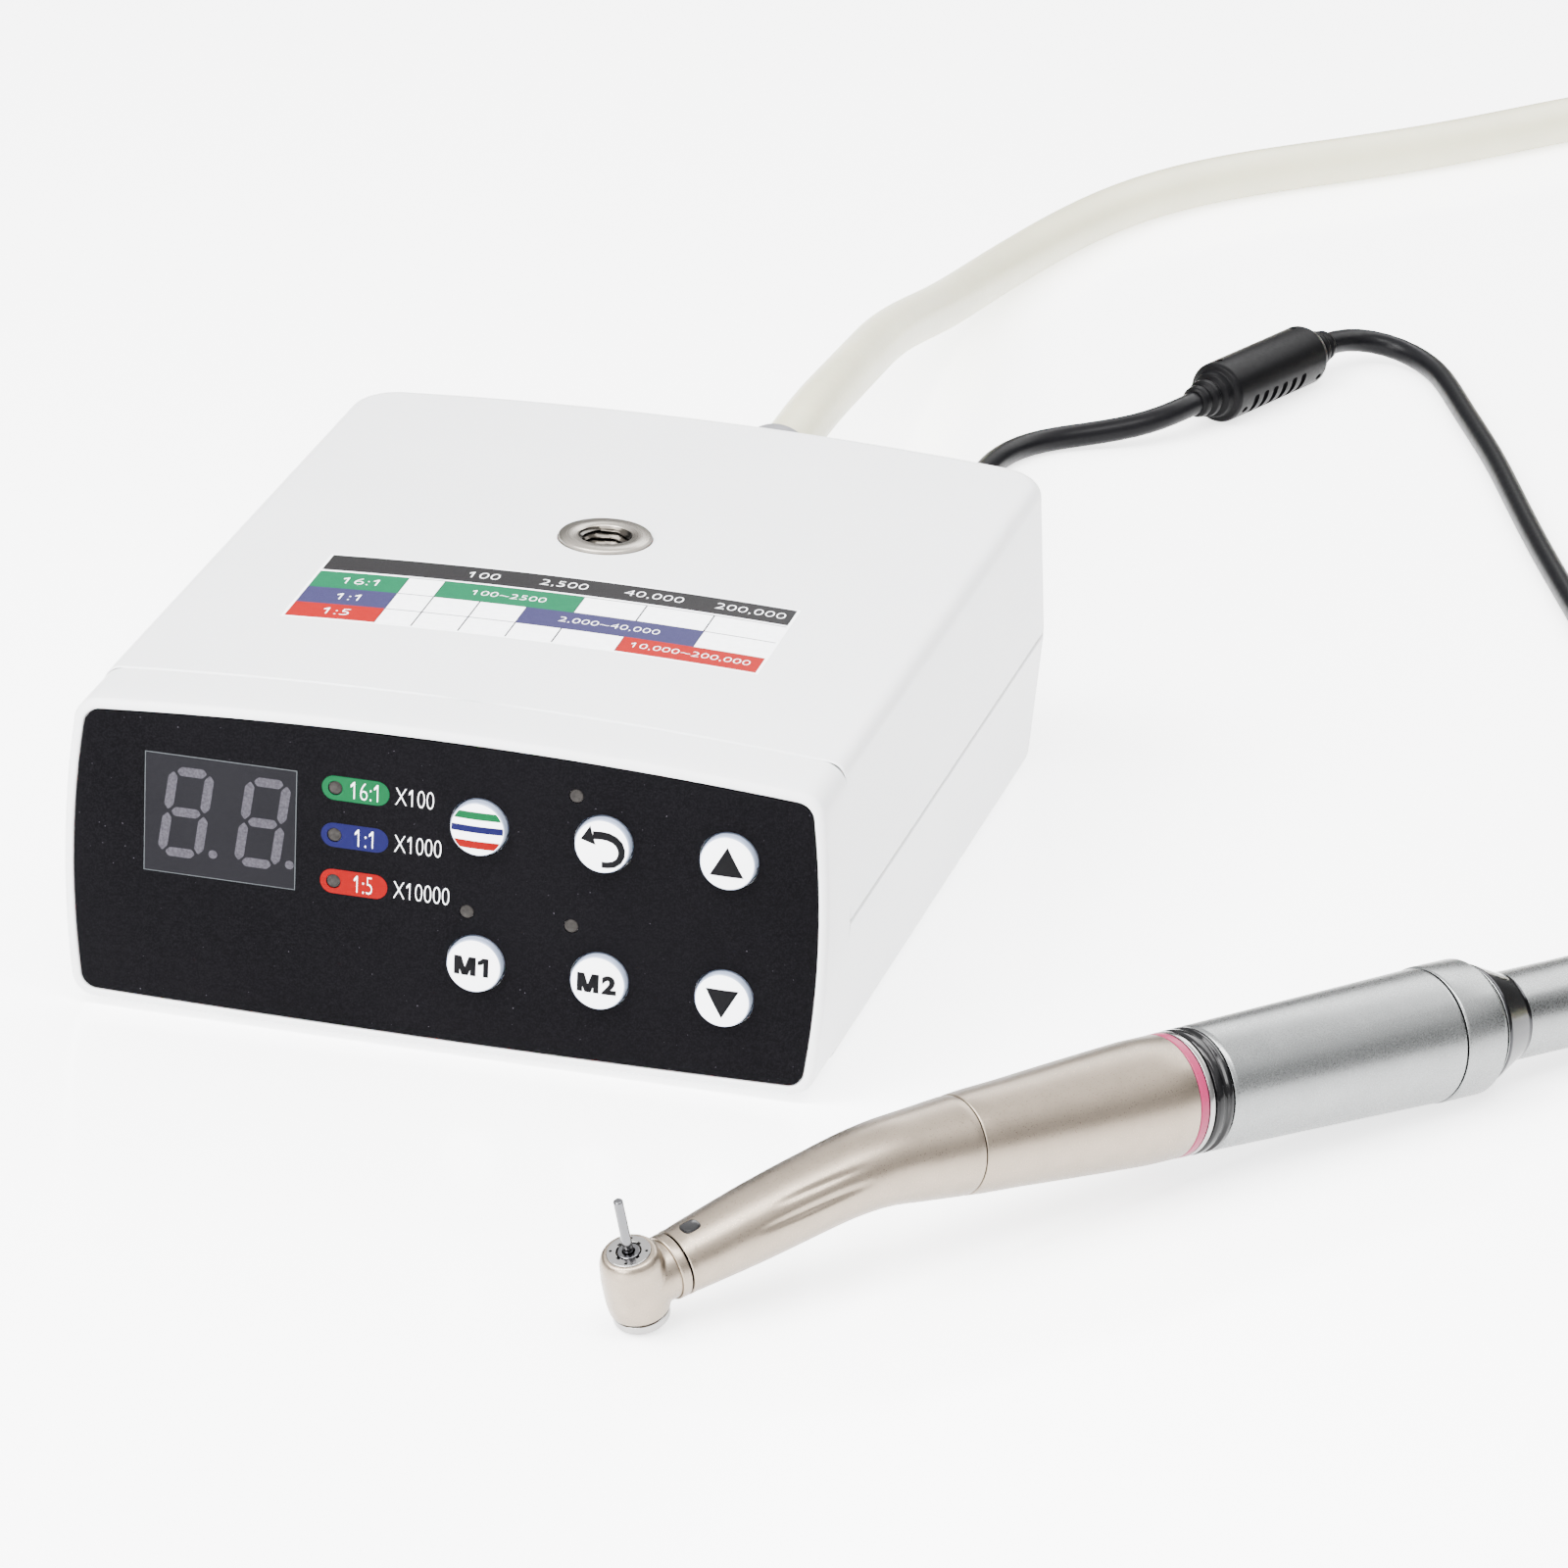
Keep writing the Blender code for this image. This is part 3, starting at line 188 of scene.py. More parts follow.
def noise_of(tree, scale, detail=3.0):
    """A noise pattern in object space; scale is in cells per metre."""
    coords = tree.nodes.new("ShaderNodeTexCoord")
    noise = tree.nodes.new("ShaderNodeTexNoise")
    put(noise, Scale=scale, Detail=detail)
    tree.links.new(coords.outputs["Object"], noise.inputs["Vector"])
    return noise.outputs["Fac"]


def ranged(tree, source, low, high, start=0.3, end=0.7):
    made = tree.nodes.new("ShaderNodeMapRange")
    put(made, From_Min=start, From_Max=end, To_Min=low, To_Max=high)
    tree.links.new(source, made.inputs["Value"])
    return made.outputs["Result"]


def mixed(tree, factor, first, second):
    """A colour between two others; each is a tuple or another node's output."""
    made = tree.nodes.new("ShaderNodeMix")
    made.data_type = "RGBA"
    tree.links.new(factor, made.inputs["Factor"])
    for socket, value in ((made.inputs["A"], first), (made.inputs["B"], second)):
        if isinstance(value, tuple):
            socket.default_value = (*value, 1)
        else:
            tree.links.new(value, socket)
    return made.outputs["Result"]


def raised(tree, shader, height, strength, distance):
    """Relief from a height pattern, its full depth in mm."""
    relief = tree.nodes.new("ShaderNodeBump")
    put(relief, Strength=strength, Distance=distance * MM)
    tree.links.new(height, relief.inputs["Height"])
    tree.links.new(relief.outputs["Normal"], shader.inputs["Normal"])


def surface(name, colour, rough, metal=0.0, *, vary=0.03, spread=0.05, grain=2500, depth=0.006,
            bump=0.3, blotch=45, coat=0.0, specular=0.5, subsurface=0.0):
    """A moulded, printed or metal finish: colour and roughness drift, and a fine grain is raised."""
    made, tree, shader = node_material(name)
    darker = tuple(c * (1 - vary) for c in colour)
    lighter = tuple(min(1, c * (1 + vary)) for c in colour)
    drift = ranged(tree, noise_of(tree, blotch, 4), 0, 1)
    tree.links.new(mixed(tree, drift, darker, lighter), shader.inputs["Base Color"])
    fine = noise_of(tree, grain, 2)
    tree.links.new(ranged(tree, fine, rough - spread, rough + spread), shader.inputs["Roughness"])
    raised(tree, shader, fine, bump, depth)
    put(shader, Metallic=metal, Coat_Weight=coat, Coat_Roughness=0.08, Specular_IOR_Level=specular)
    if subsurface:
        put(shader, Subsurface_Weight=subsurface, Subsurface_Scale=0.004)
    return made


def membrane():
    """Black film with a fine leather grain and stray pale specks."""
    made, tree, shader = node_material("panel_membrane")
    cells = tree.nodes.new("ShaderNodeTexVoronoi")
    cells.feature = "SMOOTH_F1"
    put(cells, Scale=1900)
    coords = tree.nodes.new("ShaderNodeTexCoord")
    tree.links.new(coords.outputs["Object"], cells.inputs["Vector"])
    fine, specks, drift = noise_of(tree, 3600, 3), noise_of(tree, 2100, 1), noise_of(tree, 30, 3)
    base = mixed(tree, ranged(tree, drift, 0, 1), (0.0015, 0.00145, 0.0018), (0.0023, 0.0022, 0.0027))
    grained = mixed(tree, ranged(tree, fine, 0, 1, 0.4, 0.75), base, (0.0045, 0.0043, 0.0052))
    speckled = mixed(tree, ranged(tree, specks, 0, 1, 0.77, 0.81), grained, (0.05, 0.046, 0.055))
    tree.links.new(speckled, shader.inputs["Base Color"])
    joined = tree.nodes.new("ShaderNodeMath")
    joined.operation = "ADD"
    tree.links.new(cells.outputs["Distance"], joined.inputs[0])
    tree.links.new(fine, joined.inputs[1])
    raised(tree, shader, joined.outputs[0], 0.35, 0.02)
    tree.links.new(ranged(tree, fine, 0.5, 0.72), shader.inputs["Roughness"])
    put(shader, Specular_IOR_Level=0.01)
    return made


def floor_finish():
    made, tree, shader = node_material("desk_white")
    drift = ranged(tree, noise_of(tree, 3, 2), 0, 1)
    tree.links.new(mixed(tree, drift, (0.93, 0.93, 0.935), (0.95, 0.95, 0.95)), shader.inputs["Base Color"])
    tree.links.new(ranged(tree, noise_of(tree, 60, 2), 0.12, 0.16), shader.inputs["Roughness"])
    put(shader, Emission_Color=(1, 1, 1, 1), Emission_Strength=2.4)
    return made


WHITE = surface("white_abs", (0.62, 0.625, 0.635), 0.4, vary=0.012, grain=1700, depth=0.012,
                bump=0.25, coat=0.05, subsurface=0.04)
PANEL = membrane()
LENS = surface("window_film", (0.0062, 0.0061, 0.0074), 0.34, vary=0.12, grain=3000, bump=0.2,
               specular=0.02)
LENS_EDGE = surface("window_film_edge", (0.045, 0.05, 0.054), 0.3, grain=3000, specular=0.05)
SEGMENT = surface("segment_grey", (0.036, 0.034, 0.041), 0.5, vary=0.3, blotch=2600, grain=4200,
                  bump=0.5, specular=0.02)
KEY_WHITE = surface("key_white", (0.83, 0.84, 0.87), 0.22, vary=0.012, grain=900, depth=0.01,
                    bump=0.12, coat=0.7)
# A darker bluish finish for each key's edge: the clear edge, with painted shade where the key meets the
# panel.
KEY_RIM_AND_SHADE = surface("key_rim_and_painted_shade", (0.22, 0.26, 0.36), 0.1, vary=0.08, grain=1500, bump=0.05, coat=0.6)
INK = {
    name: surface("ink_" + name, colour, 0.42, vary=0.05, grain=4500, depth=0.004, blotch=900, specular=0.04)
    for name, colour in {
        "green": (0.0003, 0.05, 0.016), "blue": (0.004, 0.004, 0.034), "red": (0.13, 0.0004, 0.0008),
        "white": (0.8, 0.8, 0.82), "black": (0.0015, 0.0015, 0.002), "label": (0.84, 0.85, 0.87),
        "label_green": (0.0015, 0.075, 0.032), "label_blue": (0.022, 0.02, 0.056),
        "label_red": (0.19, 0.004, 0.004), "charcoal": (0.011, 0.0105, 0.011), "line": (0.01, 0.009, 0.016),
    }.items()
}
PILOT = surface("pilot_lens", (0.017, 0.0155, 0.0145), 0.32, vary=0.35, blotch=1500, grain=3500,
                specular=0.05)
NICKEL = surface("nickel_plate", (0.26, 0.255, 0.25), 0.16, 1, vary=0.04, spread=0.04, grain=1500,
                 depth=0.004)
SATIN = surface("satin_nickel", (0.225, 0.186, 0.145), 0.33, 1, vary=0.045, spread=0.07, grain=4200,
                depth=0.01, bump=0.5, blotch=300)
ALUMINIUM = surface("motor_aluminium", (0.185, 0.191, 0.19), 0.3, 1, vary=0.045, spread=0.07, grain=3800,
                    depth=0.012, bump=0.55, blotch=260)
STEEL = surface("ground_steel", (0.5, 0.5, 0.52), 0.2, 1, vary=0.05, grain=2600)
# Steel painted near black: a painted dark reflection on the hose connector's cone.
STEEL_PAINTED_DARK_REFLECTION = surface("steel_painted_dark_reflection", (0.028, 0.028, 0.03), 0.16, 1, vary=0.08, grain=2600, bump=0.15)
CHROME = surface("polished_steel", (0.1, 0.1, 0.105), 0.1, 1, vary=0.03, spread=0.03, grain=2600, bump=0.1)
PINK = surface("pink_enamel", (0.19, 0.012, 0.05), 0.32, vary=0.05, grain=2600, specular=0.2)
GLOSS_BLACK = surface("gloss_black", (0.0015, 0.0015, 0.0018), 0.12, vary=0.2, grain=2600, specular=0.2)
RUBBER = surface("black_rubber", (0.005, 0.005, 0.0055), 0.6, vary=0.15, grain=1700, depth=0.03,
                 specular=0.12)
BLACK = surface("black_plastic", (0.0018, 0.0018, 0.0021), 0.36, vary=0.12, grain=1500, depth=0.03,
                bump=0.4, specular=0.05)
LEAD = surface("lead_black", (0.0025, 0.0025, 0.003), 0.34, vary=0.12, grain=900, depth=0.03,
               specular=0.07)
GREY = surface("grey_plastic", (0.12, 0.12, 0.13), 0.45, vary=0.06, grain=1500, depth=0.03)
SILICONE = surface("ivory_silicone", (0.47, 0.455, 0.325), 0.42, vary=0.05, grain=700, depth=0.04,
                   bump=0.3, blotch=70, subsurface=0.12, coat=0.12)
GLASS = surface("light_glass", (0.006, 0.006, 0.0065), 0.12, vary=0.25, grain=1800, specular=0.25)
BOARD = surface("solder_mask", (0.012, 0.11, 0.04), 0.35, vary=0.15, blotch=300, coat=0.4)
# Steel for the insert's bore and thread, its colour darkened as painted shade inside the hole.
BORE_STEEL_PAINTED_SHADE = surface("bore_steel_painted_shade", (0.045, 0.04, 0.034), 0.2, 1, vary=0.1, grain=1600)
COPPER = surface("varnished_copper", (0.62, 0.25, 0.1), 0.35, 1, vary=0.15, grain=900, depth=0.1)
DARK = surface("display_block", (0.05, 0.05, 0.055), 0.5, vary=0.1)
PIPE = surface("light_pipe", (0.5, 0.52, 0.5), 0.2, vary=0.08, coat=0.5)


# ---------------------------------------------------------------- mesh helpers
def shade(mesh, sharp=38):
    mesh.shade_smooth()
    mesh.set_sharp_from_angle(angle=math.radians(sharp))


def mesh_object(name, verts, faces, sharp=38):
    mesh = bpy.data.meshes.new(name)
    mesh.from_pydata([tuple(v) for v in verts], [], faces)
    tidy(mesh, sharp)
    return link(bpy.data.objects.new(name, mesh))


def tidy(mesh, sharp=38):
    """Join doubled points and turn every face outwards."""
    bm = bmesh.new()
    bm.from_mesh(mesh)
    bmesh.ops.remove_doubles(bm, verts=bm.verts, dist=2e-6)
    bmesh.ops.recalc_face_normals(bm, faces=bm.faces)
    bm.to_mesh(mesh)
    bm.free()
    shade(mesh, sharp)


def evaluated(obj):
    bpy.context.view_layer.update()
    return bpy.data.meshes.new_from_object(obj.evaluated_get(bpy.context.evaluated_depsgraph_get()))


def applied(obj, sharp=38):
    """obj with its modifiers made real."""
    mesh = evaluated(obj)
    obj.modifiers.clear()
    obj.data = mesh
    shade(mesh, sharp)
    return obj


def walled(obj, thickness):
    """obj, an open skin, given a wall that grows inwards by thickness mm."""
    wall = obj.modifiers.new("wall", "SOLIDIFY")
    wall.thickness = thickness * MM
    wall.offset = -1
    return applied(obj)


def cut(obj, *cutters, operation="DIFFERENCE"):
    for cutter in cutters:
        modifier = obj.modifiers.new("cut", "BOOLEAN")
        modifier.operation = operation
        modifier.solver = "EXACT"
        modifier.object = cutter
    applied(obj)
    for cutter in cutters:
        bpy.data.objects.remove(cutter)
    return obj


def softened(points, radius, ring, segments=3):
    """points with each corner rounded by about radius."""
    made = []
    for i, point in enumerate(points):
        here = Vector(point)
        if not ring and i in (0, len(points) - 1):
            made.append(here)
            continue
        back = Vector(points[i - 1]) - here
        onward = Vector(points[(i + 1) % len(points)]) - here
        if back.angle(onward) > math.radians(168):
            made.append(here)
            continue
        start = here + back.normalized() * min(radius, 0.45 * back.length)
        end = here + onward.normalized() * min(radius, 0.45 * onward.length)
        for k in range(segments + 1):
            t = k / segments
            made.append((1 - t) ** 2 * start + 2 * t * (1 - t) * here + t * t * end)
    return made


def skin(rows, count, ring=True, closed=False):
    """Faces between rows of count points; ring joins each row's ends, closed the last row to the first."""
    faces = []
    for r in range(rows if closed else rows - 1):
        a, b = r * count, (r + 1) % rows * count
        for i in range(count if ring else count - 1):
            j = (i + 1) % count
            faces.append((a + i, a + j, b + j, b + i))
    return faces


def lathe(name, profile, place, steps=96, ring=False, soft=0.15):
    """A profile of (radius, height) in mm turned about place's Z axis."""
    outline = softened(profile, soft, ring)
    verts = [spot(place, r * math.cos(a), r * math.sin(a), h) for a in angles(steps) for r, h in outline]
    return mesh_object(name, verts, skin(steps, len(outline), ring, True))


def ways_along(points):
    """The direction of a path at each of its points."""
    last = len(points) - 1
    return [(points[min(i + 1, last)] - points[max(i - 1, 0)]).normalized() for i in range(last + 1)]


def loft(name, rings, closed=False, sharp=38):
    """Skin over rings of points in metres; closed joins the last ring to the first."""
    rows, count = len(rings), len(rings[0])
    faces = skin(rows, count, True, closed)
    if not closed:
        faces += [tuple(range(count)), tuple(range((rows - 1) * count, rows * count))]
    return mesh_object(name, [v for ring in rings for v in ring], faces, sharp)


def prism(name, outline, low, high, place, soft=0.0):
    """An outline (x, y) in mm, from low to high along place's Z, its rim softened by soft mm."""
    levels = [(low, 0), (high, 0)] if not soft else [
        (low, -soft), (low + soft, 0), (high - soft, 0), (high - soft * 0.3, -soft * 0.3), (high, -soft)
    ]
    centre = Vector((sum(p[0] for p in outline), sum(p[1] for p in outline))) / len(outline)
    rings = []
    for z, grow in levels:
        ring = []
        for p in outline:
            away = Vector(p) - centre
            x, y = centre + away * (1 + grow / max(away.length, 0.01))
            ring.append(place @ (Vector((x, y, z)) * MM))
        rings.append(ring)
    return loft(name, rings)


def rod(radius, low, high, place, sides=64):
    outline = [(radius * math.cos(a), radius * math.sin(a)) for a in angles(sides)]
    return prism("rod", outline, low, high, place)


def block(name, low, high, place, soft=0.3, segments=3):
    """A box between two corners in mm with bevelled edges."""
    low, high = Vector(low), Vector(high)
    mesh = bpy.data.meshes.new(name)
    bm = bmesh.new()
    bmesh.ops.create_cube(bm, size=1, matrix=Matrix.Translation((low + high) / 2 * MM)
                          @ Matrix.Diagonal((*((high - low) * MM), 1)))
    if soft:
        bmesh.ops.bevel(bm, geom=bm.edges, offset=soft * MM, segments=segments, affect="EDGES", profile=0.5)
    bm.transform(place)
    bm.to_mesh(mesh)
    bm.free()
    made = link(bpy.data.objects.new(name, mesh))
    tidy(mesh)
    return made


def superellipse(half_x, half_y, power, count=48):
    made = []
    for a in angles(count):
        c, s = math.cos(a), math.sin(a)
        made.append((
            half_x * math.copysign(abs(c) ** (2 / power), c),
            half_y * math.copysign(abs(s) ** (2 / power), s),
        ))
    return made


def stadium(half_x, half_y, arc=14):
    made = []
    for side, start in ((1, -90), (-1, 90)):
        for k in range(arc + 1):
            angle = math.radians(start + 180 * k / arc)
            made.append((side * (half_x - half_y) + half_y * math.cos(angle), half_y * math.sin(angle)))
    return made


def fit(obj, body, slot, finish, *nodes):
    """Give obj its finish and body; nodes are the CAD nodes that it stands for."""
    obj.data.materials.clear()
    obj.data.materials.append(finish)
    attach(obj, body)
    if nodes:
        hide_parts(*nodes)
    return obj


def second_finish(obj, finish, place, test):
    """Another finish on the faces whose middle, in mm of place, meets test."""
    obj.data.materials.append(finish)
    back = place.inverted()
    for face in obj.data.polygons:
        if test((back @ face.center) / MM):
            face.material_index = 1


SHELL = ("control_box", "white_abs", WHITE)
MOULDED = ("control_box", "black_plastic", BLACK)
MOTOR_METAL = ("motor", "motor_aluminium", ALUMINIUM)
NECK_METAL = ("contra_angle", "satin_nickel", SATIN)


# ---------------------------------------------------------------- control box, in mm
SEAM, TOP, BOTTOM, HALF = 25.9, 52.5, 1.4, 61.0  # heights at the sides, and half the width
CROWN, BELLY, BOW = 2.4, 0.6, 1.8  # how far the top, the underside and the sides bulge
EDGE, CASE_FRONT, WALL, REAR_CORNER = 2.5, FRONT_Y + 14.75, 2.0, 7.5


def roof(x):
    """Height of the control box's top, in mm."""
    return TOP + CROWN * (1 - (min(abs(x), HALF) / HALF) ** 2)


def belly(x):
    return BOTTOM - BELLY * (1 - (min(abs(x), HALF) / HALF) ** 2)


def case_outline(half, rear, corner, chamfer=0.25):
    """The case seen from above, from its front left end round the back to the front right."""
    corner = max(corner, 0.2)
    rows = np.linspace(CASE_FRONT + chamfer, rear - corner, 16)
    left = [(-half + chamfer, CASE_FRONT)] + [(-half, y) for y in rows[:-1]]
    for k in range(10):
        angle = math.radians(180 - 90 * k / 9)
        left.append((-half + corner + corner * math.cos(angle), rear - corner + corner * math.sin(angle)))
    across = [(x, rear) for x in np.linspace(-half + corner, half - corner, 26)[1:-1]]
    return left + across + [(-x, y) for x, y in reversed(left)]


def case_half(name, upper):
    """The top or bottom shell: bowed sides, a rounded edge, and a crowned face drawn in to a line."""
    side = 1 if upper else -1
    limit, height = (TOP, roof) if upper else (BOTTOM, belly)
    rings = []

    def ring(half, inset, z_of, dip=0.0):
        half = max(half, 0.0)
        outline = case_outline(half, REAR_Y - inset, min(REAR_CORNER - inset, half), 0.25 if half > 1 else 0)
        last = len(outline) - 1
        rings.append([
            spot(DESK, x, y, z_of(x) - (dip if i in (0, last) else 0) * side)
            for i, (x, y) in enumerate(outline)
        ])

    def bulge(z):
        return BOW * (1 - abs(z - SEAM) / abs(limit - SEAM))

    first = SEAM + side * 0.15
    ring(HALF + BOW - 0.3, 0.3, lambda x: first)
    for share in np.linspace(0, 1, 8):
        z = first + side * 0.3 + share * (limit - side * EDGE - first - side * 0.3)
        ring(HALF + bulge(z), 0, lambda x, share=share, z=z: z + share * (height(x) - limit))
    for k in range(1, 9):
        angle = math.radians(90 * k / 8)
        inset, drop = EDGE * (1 - math.cos(angle)), EDGE * (1 - math.sin(angle))
        ring(HALF + bulge(limit - side * EDGE) * (1 - k / 8) - inset, inset,
             lambda x, drop=drop: height(x) - side * drop, 0.25 * k / 8)
    for inset in (3.5, 5, 8, 12, 17, 23, 30, 37, 44, 51, 56, 60, 61):
        ring(HALF - inset, inset, height, 0.25)
    shell = mesh_object(name, [v for r in rings for v in r], skin(len(rings), len(rings[0]), False))
    if sum(p.normal.z * side for p in shell.data.polygons if abs(p.normal.z) > 0.9) < 0:
        shell.data.flip_normals()
    return walled(shell, WALL)


def control_box():
    top = case_half("case_top", True)
    cut(top, rod(7.98, 45, 60, DESK @ move(0, 14.4, 0)), rod(5.6, -9, 9, facing_rear(8, 41)))
    fit(top, *SHELL, "top_shell")
    corners = [DESK @ move(x, y, 0) for x in (-53, 53) for y in (-42, 50)]
    bottom = case_half("case_bottom", False)
    cut(bottom, *[rod(3.1, -2, 6, here, 32) for here in corners])
    fit(bottom, *SHELL, "bottom_shell")
    for i, here in enumerate(corners):
        boss = [(3.1, 1.7), (4.4, 1.7), (4.4, 8), (1.5, 8), (1.5, 7), (3.1, 7)]
        fit(lathe(f"screw_boss_{i + 1}", boss, here, 32, True), *SHELL)
        screw = lathe(f"case_screw_{i + 1}_fine", [
            (0, 36), (0.8, 36), (1.25, 34.5), (1.25, 6.7), (2.7, 6.7), (2.7, 5.2), (2.0, 4.4), (0, 4.2),
        ], here, 32)
        cut(screw, block("slot", (-1.5, -0.3, 3), (1.5, 0.3, 5.6), here, 0),
            block("slot", (-0.3, -1.5, 3), (0.3, 1.5, 5.6), here, 0))
        fit(screw, "control_box", "steel", STEEL, f"case_screw_{i + 1}")
    for i, (x, y) in enumerate([(x, y) for x in (-44, 44) for y in (-54, 62)]):
        foot = lathe(f"foot_{i + 1}_fine", [
            (0, 2.1), (5, 2.1), (5, 0.5), (4.6, 0), (3.2, 0), (3.0, 0.25), (1.4, 0.25), (1.2, 0), (0, 0),
        ], DESK @ move(x, y, 0), 48, soft=0.1)
        fit(foot, "control_box", "black_rubber", RUBBER, f"foot_{i + 1}")


def bezel_outline(inset, count=26, arc=9):
    """The front's outline at an inset: a rectangle whose sides bow outwards, as (x, z)."""
    half_x, low, high = HALF - inset, BOTTOM + inset, TOP - inset
    middle, half_z = (low + high) / 2, (high - low) / 2
    reach = max(4.5 - inset, 1.0) / 1.248
    across = np.linspace(-half_x + reach, half_x - reach, count)
    back = np.linspace(half_x - reach, -half_x + reach, count)
    rise = np.linspace(low + reach, high - reach, count // 2)
    fall = np.linspace(high - reach, low + reach, count // 2)
    sides = [
        [(x, low - BELLY * (1 - (x / half_x) ** 2)) for x in across],
        [(half_x + BOW * (1 - ((z - middle) / half_z) ** 2), z) for z in rise],
        [(x, high + CROWN * (1 - (x / half_x) ** 2)) for x in back],
        [(-half_x - BOW * (1 - ((z - middle) / half_z) ** 2), z) for z in fall],
    ]
    corners = [(half_x, low), (half_x, high), (-half_x, high), (-half_x, low)]
    made = []
    for side, corner, after in zip(sides, corners, sides[1:] + sides[:1]):
        made += side
        start, end, tip = Vector(side[-1]), Vector(after[0]), Vector(corner)
        for k in range(1, arc):
            t = k / arc
            weight = 2 * t * (1 - t) * 0.78
            total = (1 - t) ** 2 + weight + t * t
            made.append(tuple(((1 - t) ** 2 * start + weight * tip + t * t * end) / total))
    return made


def along_front(outline, depth):
    return [spot(DESK, x, FRONT_Y + depth, z) for x, z in outline]


BUTTONS = {
    "ratio": (5.8, 39.8), "reverse": (26.1, 39.8), "up": (46.4, 39.8),
    "memory_1": (5.8, 16.5), "memory_2": (26.1, 16.5), "down": (46.4, 16.5),
}
PILOTS = {
    "ratio": [(-17.9, 43.1), (-17.9, 35.1), (-17.9, 27.2)],
    "reverse": [(21.4, 47.2)],
    "memory": [(4.1, 25.1), (21.2, 25.1)],
}
PANEL_FACE = 0.1  # mm from the front's foremost plane back to the panel's face
WINDOW_BOX = (-49.4, 24.7, -24.2, 45.1)  # left, low, right, high
KEY_EDGE = 4.3  # radius of a key's domed face
PRINT_DEPTH = 0.12  # how far the keys' print reaches into them
ARROW = (
    [(0.1, -2.95), (1.0, -2.95), (2.0, -2.72), (2.8, -2.1), (3.22, -1.2), (3.25, -0.2), (2.85, 0.75),
     (2.1, 1.45), (1.1, 1.85), (0.0, 1.97), (-1.45, 1.85)],
    [1.05, 1.05, 1.05, 1.05, 1.08, 1.12, 1.2, 1.25, 1.3, 1.3, 1.3],
)  # the reverse key's stroke and its widths


def panel_cutters(depth):
    made = [rod(4.9, -depth, 3, facing_front(x, z)) for x, z in BUTTONS.values()]
    made += [rod(1.2, -depth, 3, facing_front(x, z), 40) for spots in PILOTS.values() for x, z in spots]
    return made


def front():
    profile = [(3.4, 0.95), (1.6, 0.95), (1.6, 0.3), (1.45, 0.08), (1.2, 0.0)]
    profile += [
        (1.1 - 1.1 * math.sin(math.radians(a)), 1.1 - 1.1 * math.cos(math.radians(a)))
        for a in (0, 15, 30, 45, 60, 75, 90)
    ]
    profile += [(0, 5), (0, 10), (0, 14.15), (0.25, 14.45), (2.2, 14.45), (2.2, 2.7), (3.4, 2.7)]
    ring = loft("bezel_ring", [along_front(bezel_outline(i), d) for i, d in profile], closed=True)
    fit(ring, *SHELL, "front_bezel")
    plate = loft("bezel_plate", [along_front(bezel_outline(3.2), d) for d in (0.95, 2.7)])
    x0, z0, x1, z1 = WINDOW_BOX
    cut(plate, *panel_cutters(8),
        block("hole", (x0 + 0.6, z0 + 0.6, -8), (x1 - 0.6, z1 - 0.6, 3), facing_front(0, 0), 0))
    fit(plate, *SHELL)
    film = loft("panel_film", [
        along_front(bezel_outline(i), d)
        for i, d in ((1.75, 0.6), (1.75, PANEL_FACE + 0.12), (1.79, PANEL_FACE + 0.03), (1.9, PANEL_FACE))
    ])
    cut(film, *panel_cutters(8),
        block("hole", (x0 - 0.02, z0 - 0.02, -8), (x1 + 0.02, z1 + 0.02, 3), facing_front(0, 0), 0))
    fit(film, "control_box", "black_membrane", PANEL, "front_overlay")


def display():
    """The smoked window and, on it, the unlit bars and points of its two digits."""
    x0, z0, x1, z1 = WINDOW_BOX
    here = facing_front(0, 0)
    face = -PANEL_FACE
    fit(block("window_film_rim", (x0, z0, face - 0.5), (x1, z1, face - 0.01), here, 0.03, 1),
        "control_box", "smoked_lens", LENS_EDGE)
    low, high = (x0 + 0.16, z0 + 0.16, face - 0.45), (x1 - 0.16, z1 - 0.16, face + 0.02)
    fit(block("window_film", low, high, here, 0.02, 1), "control_box", "smoked_lens", LENS, "display_window")
    half, tall, thick, gap = 3.0, 14.2, 1.55, 0.22
    mid, lean = tall / 2, math.tan(math.radians(7.5))
    joined = []
    for centre in (-42.45, -29.75):
        bars = []
        for x in (-half, half):
            left, right = x - thick / 2, x + thick / 2
            for foot, top in ((gap, mid), (mid + gap, tall)):
                bars.append([(left, foot + 0.9), (x, foot), (right, foot + 0.9),
                             (right, top - 0.9 - gap), (x, top - gap), (left, top - 0.9 - gap)])
        a, b = -half + gap + 0.75, half - gap - 0.75
        for z in (0.15, mid, tall - 0.15):
            under, over = z - thick / 2, z + thick / 2
            bars.append([(a - 0.45, z), (a + 0.2, under), (b - 0.2, under), (b + 0.45, z),
                         (b - 0.2, over), (a + 0.2, over)])
        for k, bar in enumerate(bars):
            outline = [(centre + x + lean * (z - mid), 35.4 - mid + z) for x, z in softened(bar, 0.3, True)]
            joined.append(prism(f"bar_{k}", outline, face - 0.2, face + 0.035, here))
        joined.append(rod(0.72, face - 0.2, face + 0.035, facing_front(centre + 4.55, 28.9), 24))
    fit(merged("display_segments", joined), "control_box", "smoked_lens", SEGMENT)


def merged(name, objects):
    """One object out of several."""
    bm = bmesh.new()
    for obj in objects:
        bm.from_mesh(obj.data)
        bpy.data.objects.remove(obj)
    mesh = bpy.data.meshes.new(name)
    bm.to_mesh(mesh)
    bm.free()
    shade(mesh)
    return link(bpy.data.objects.new(name, mesh))


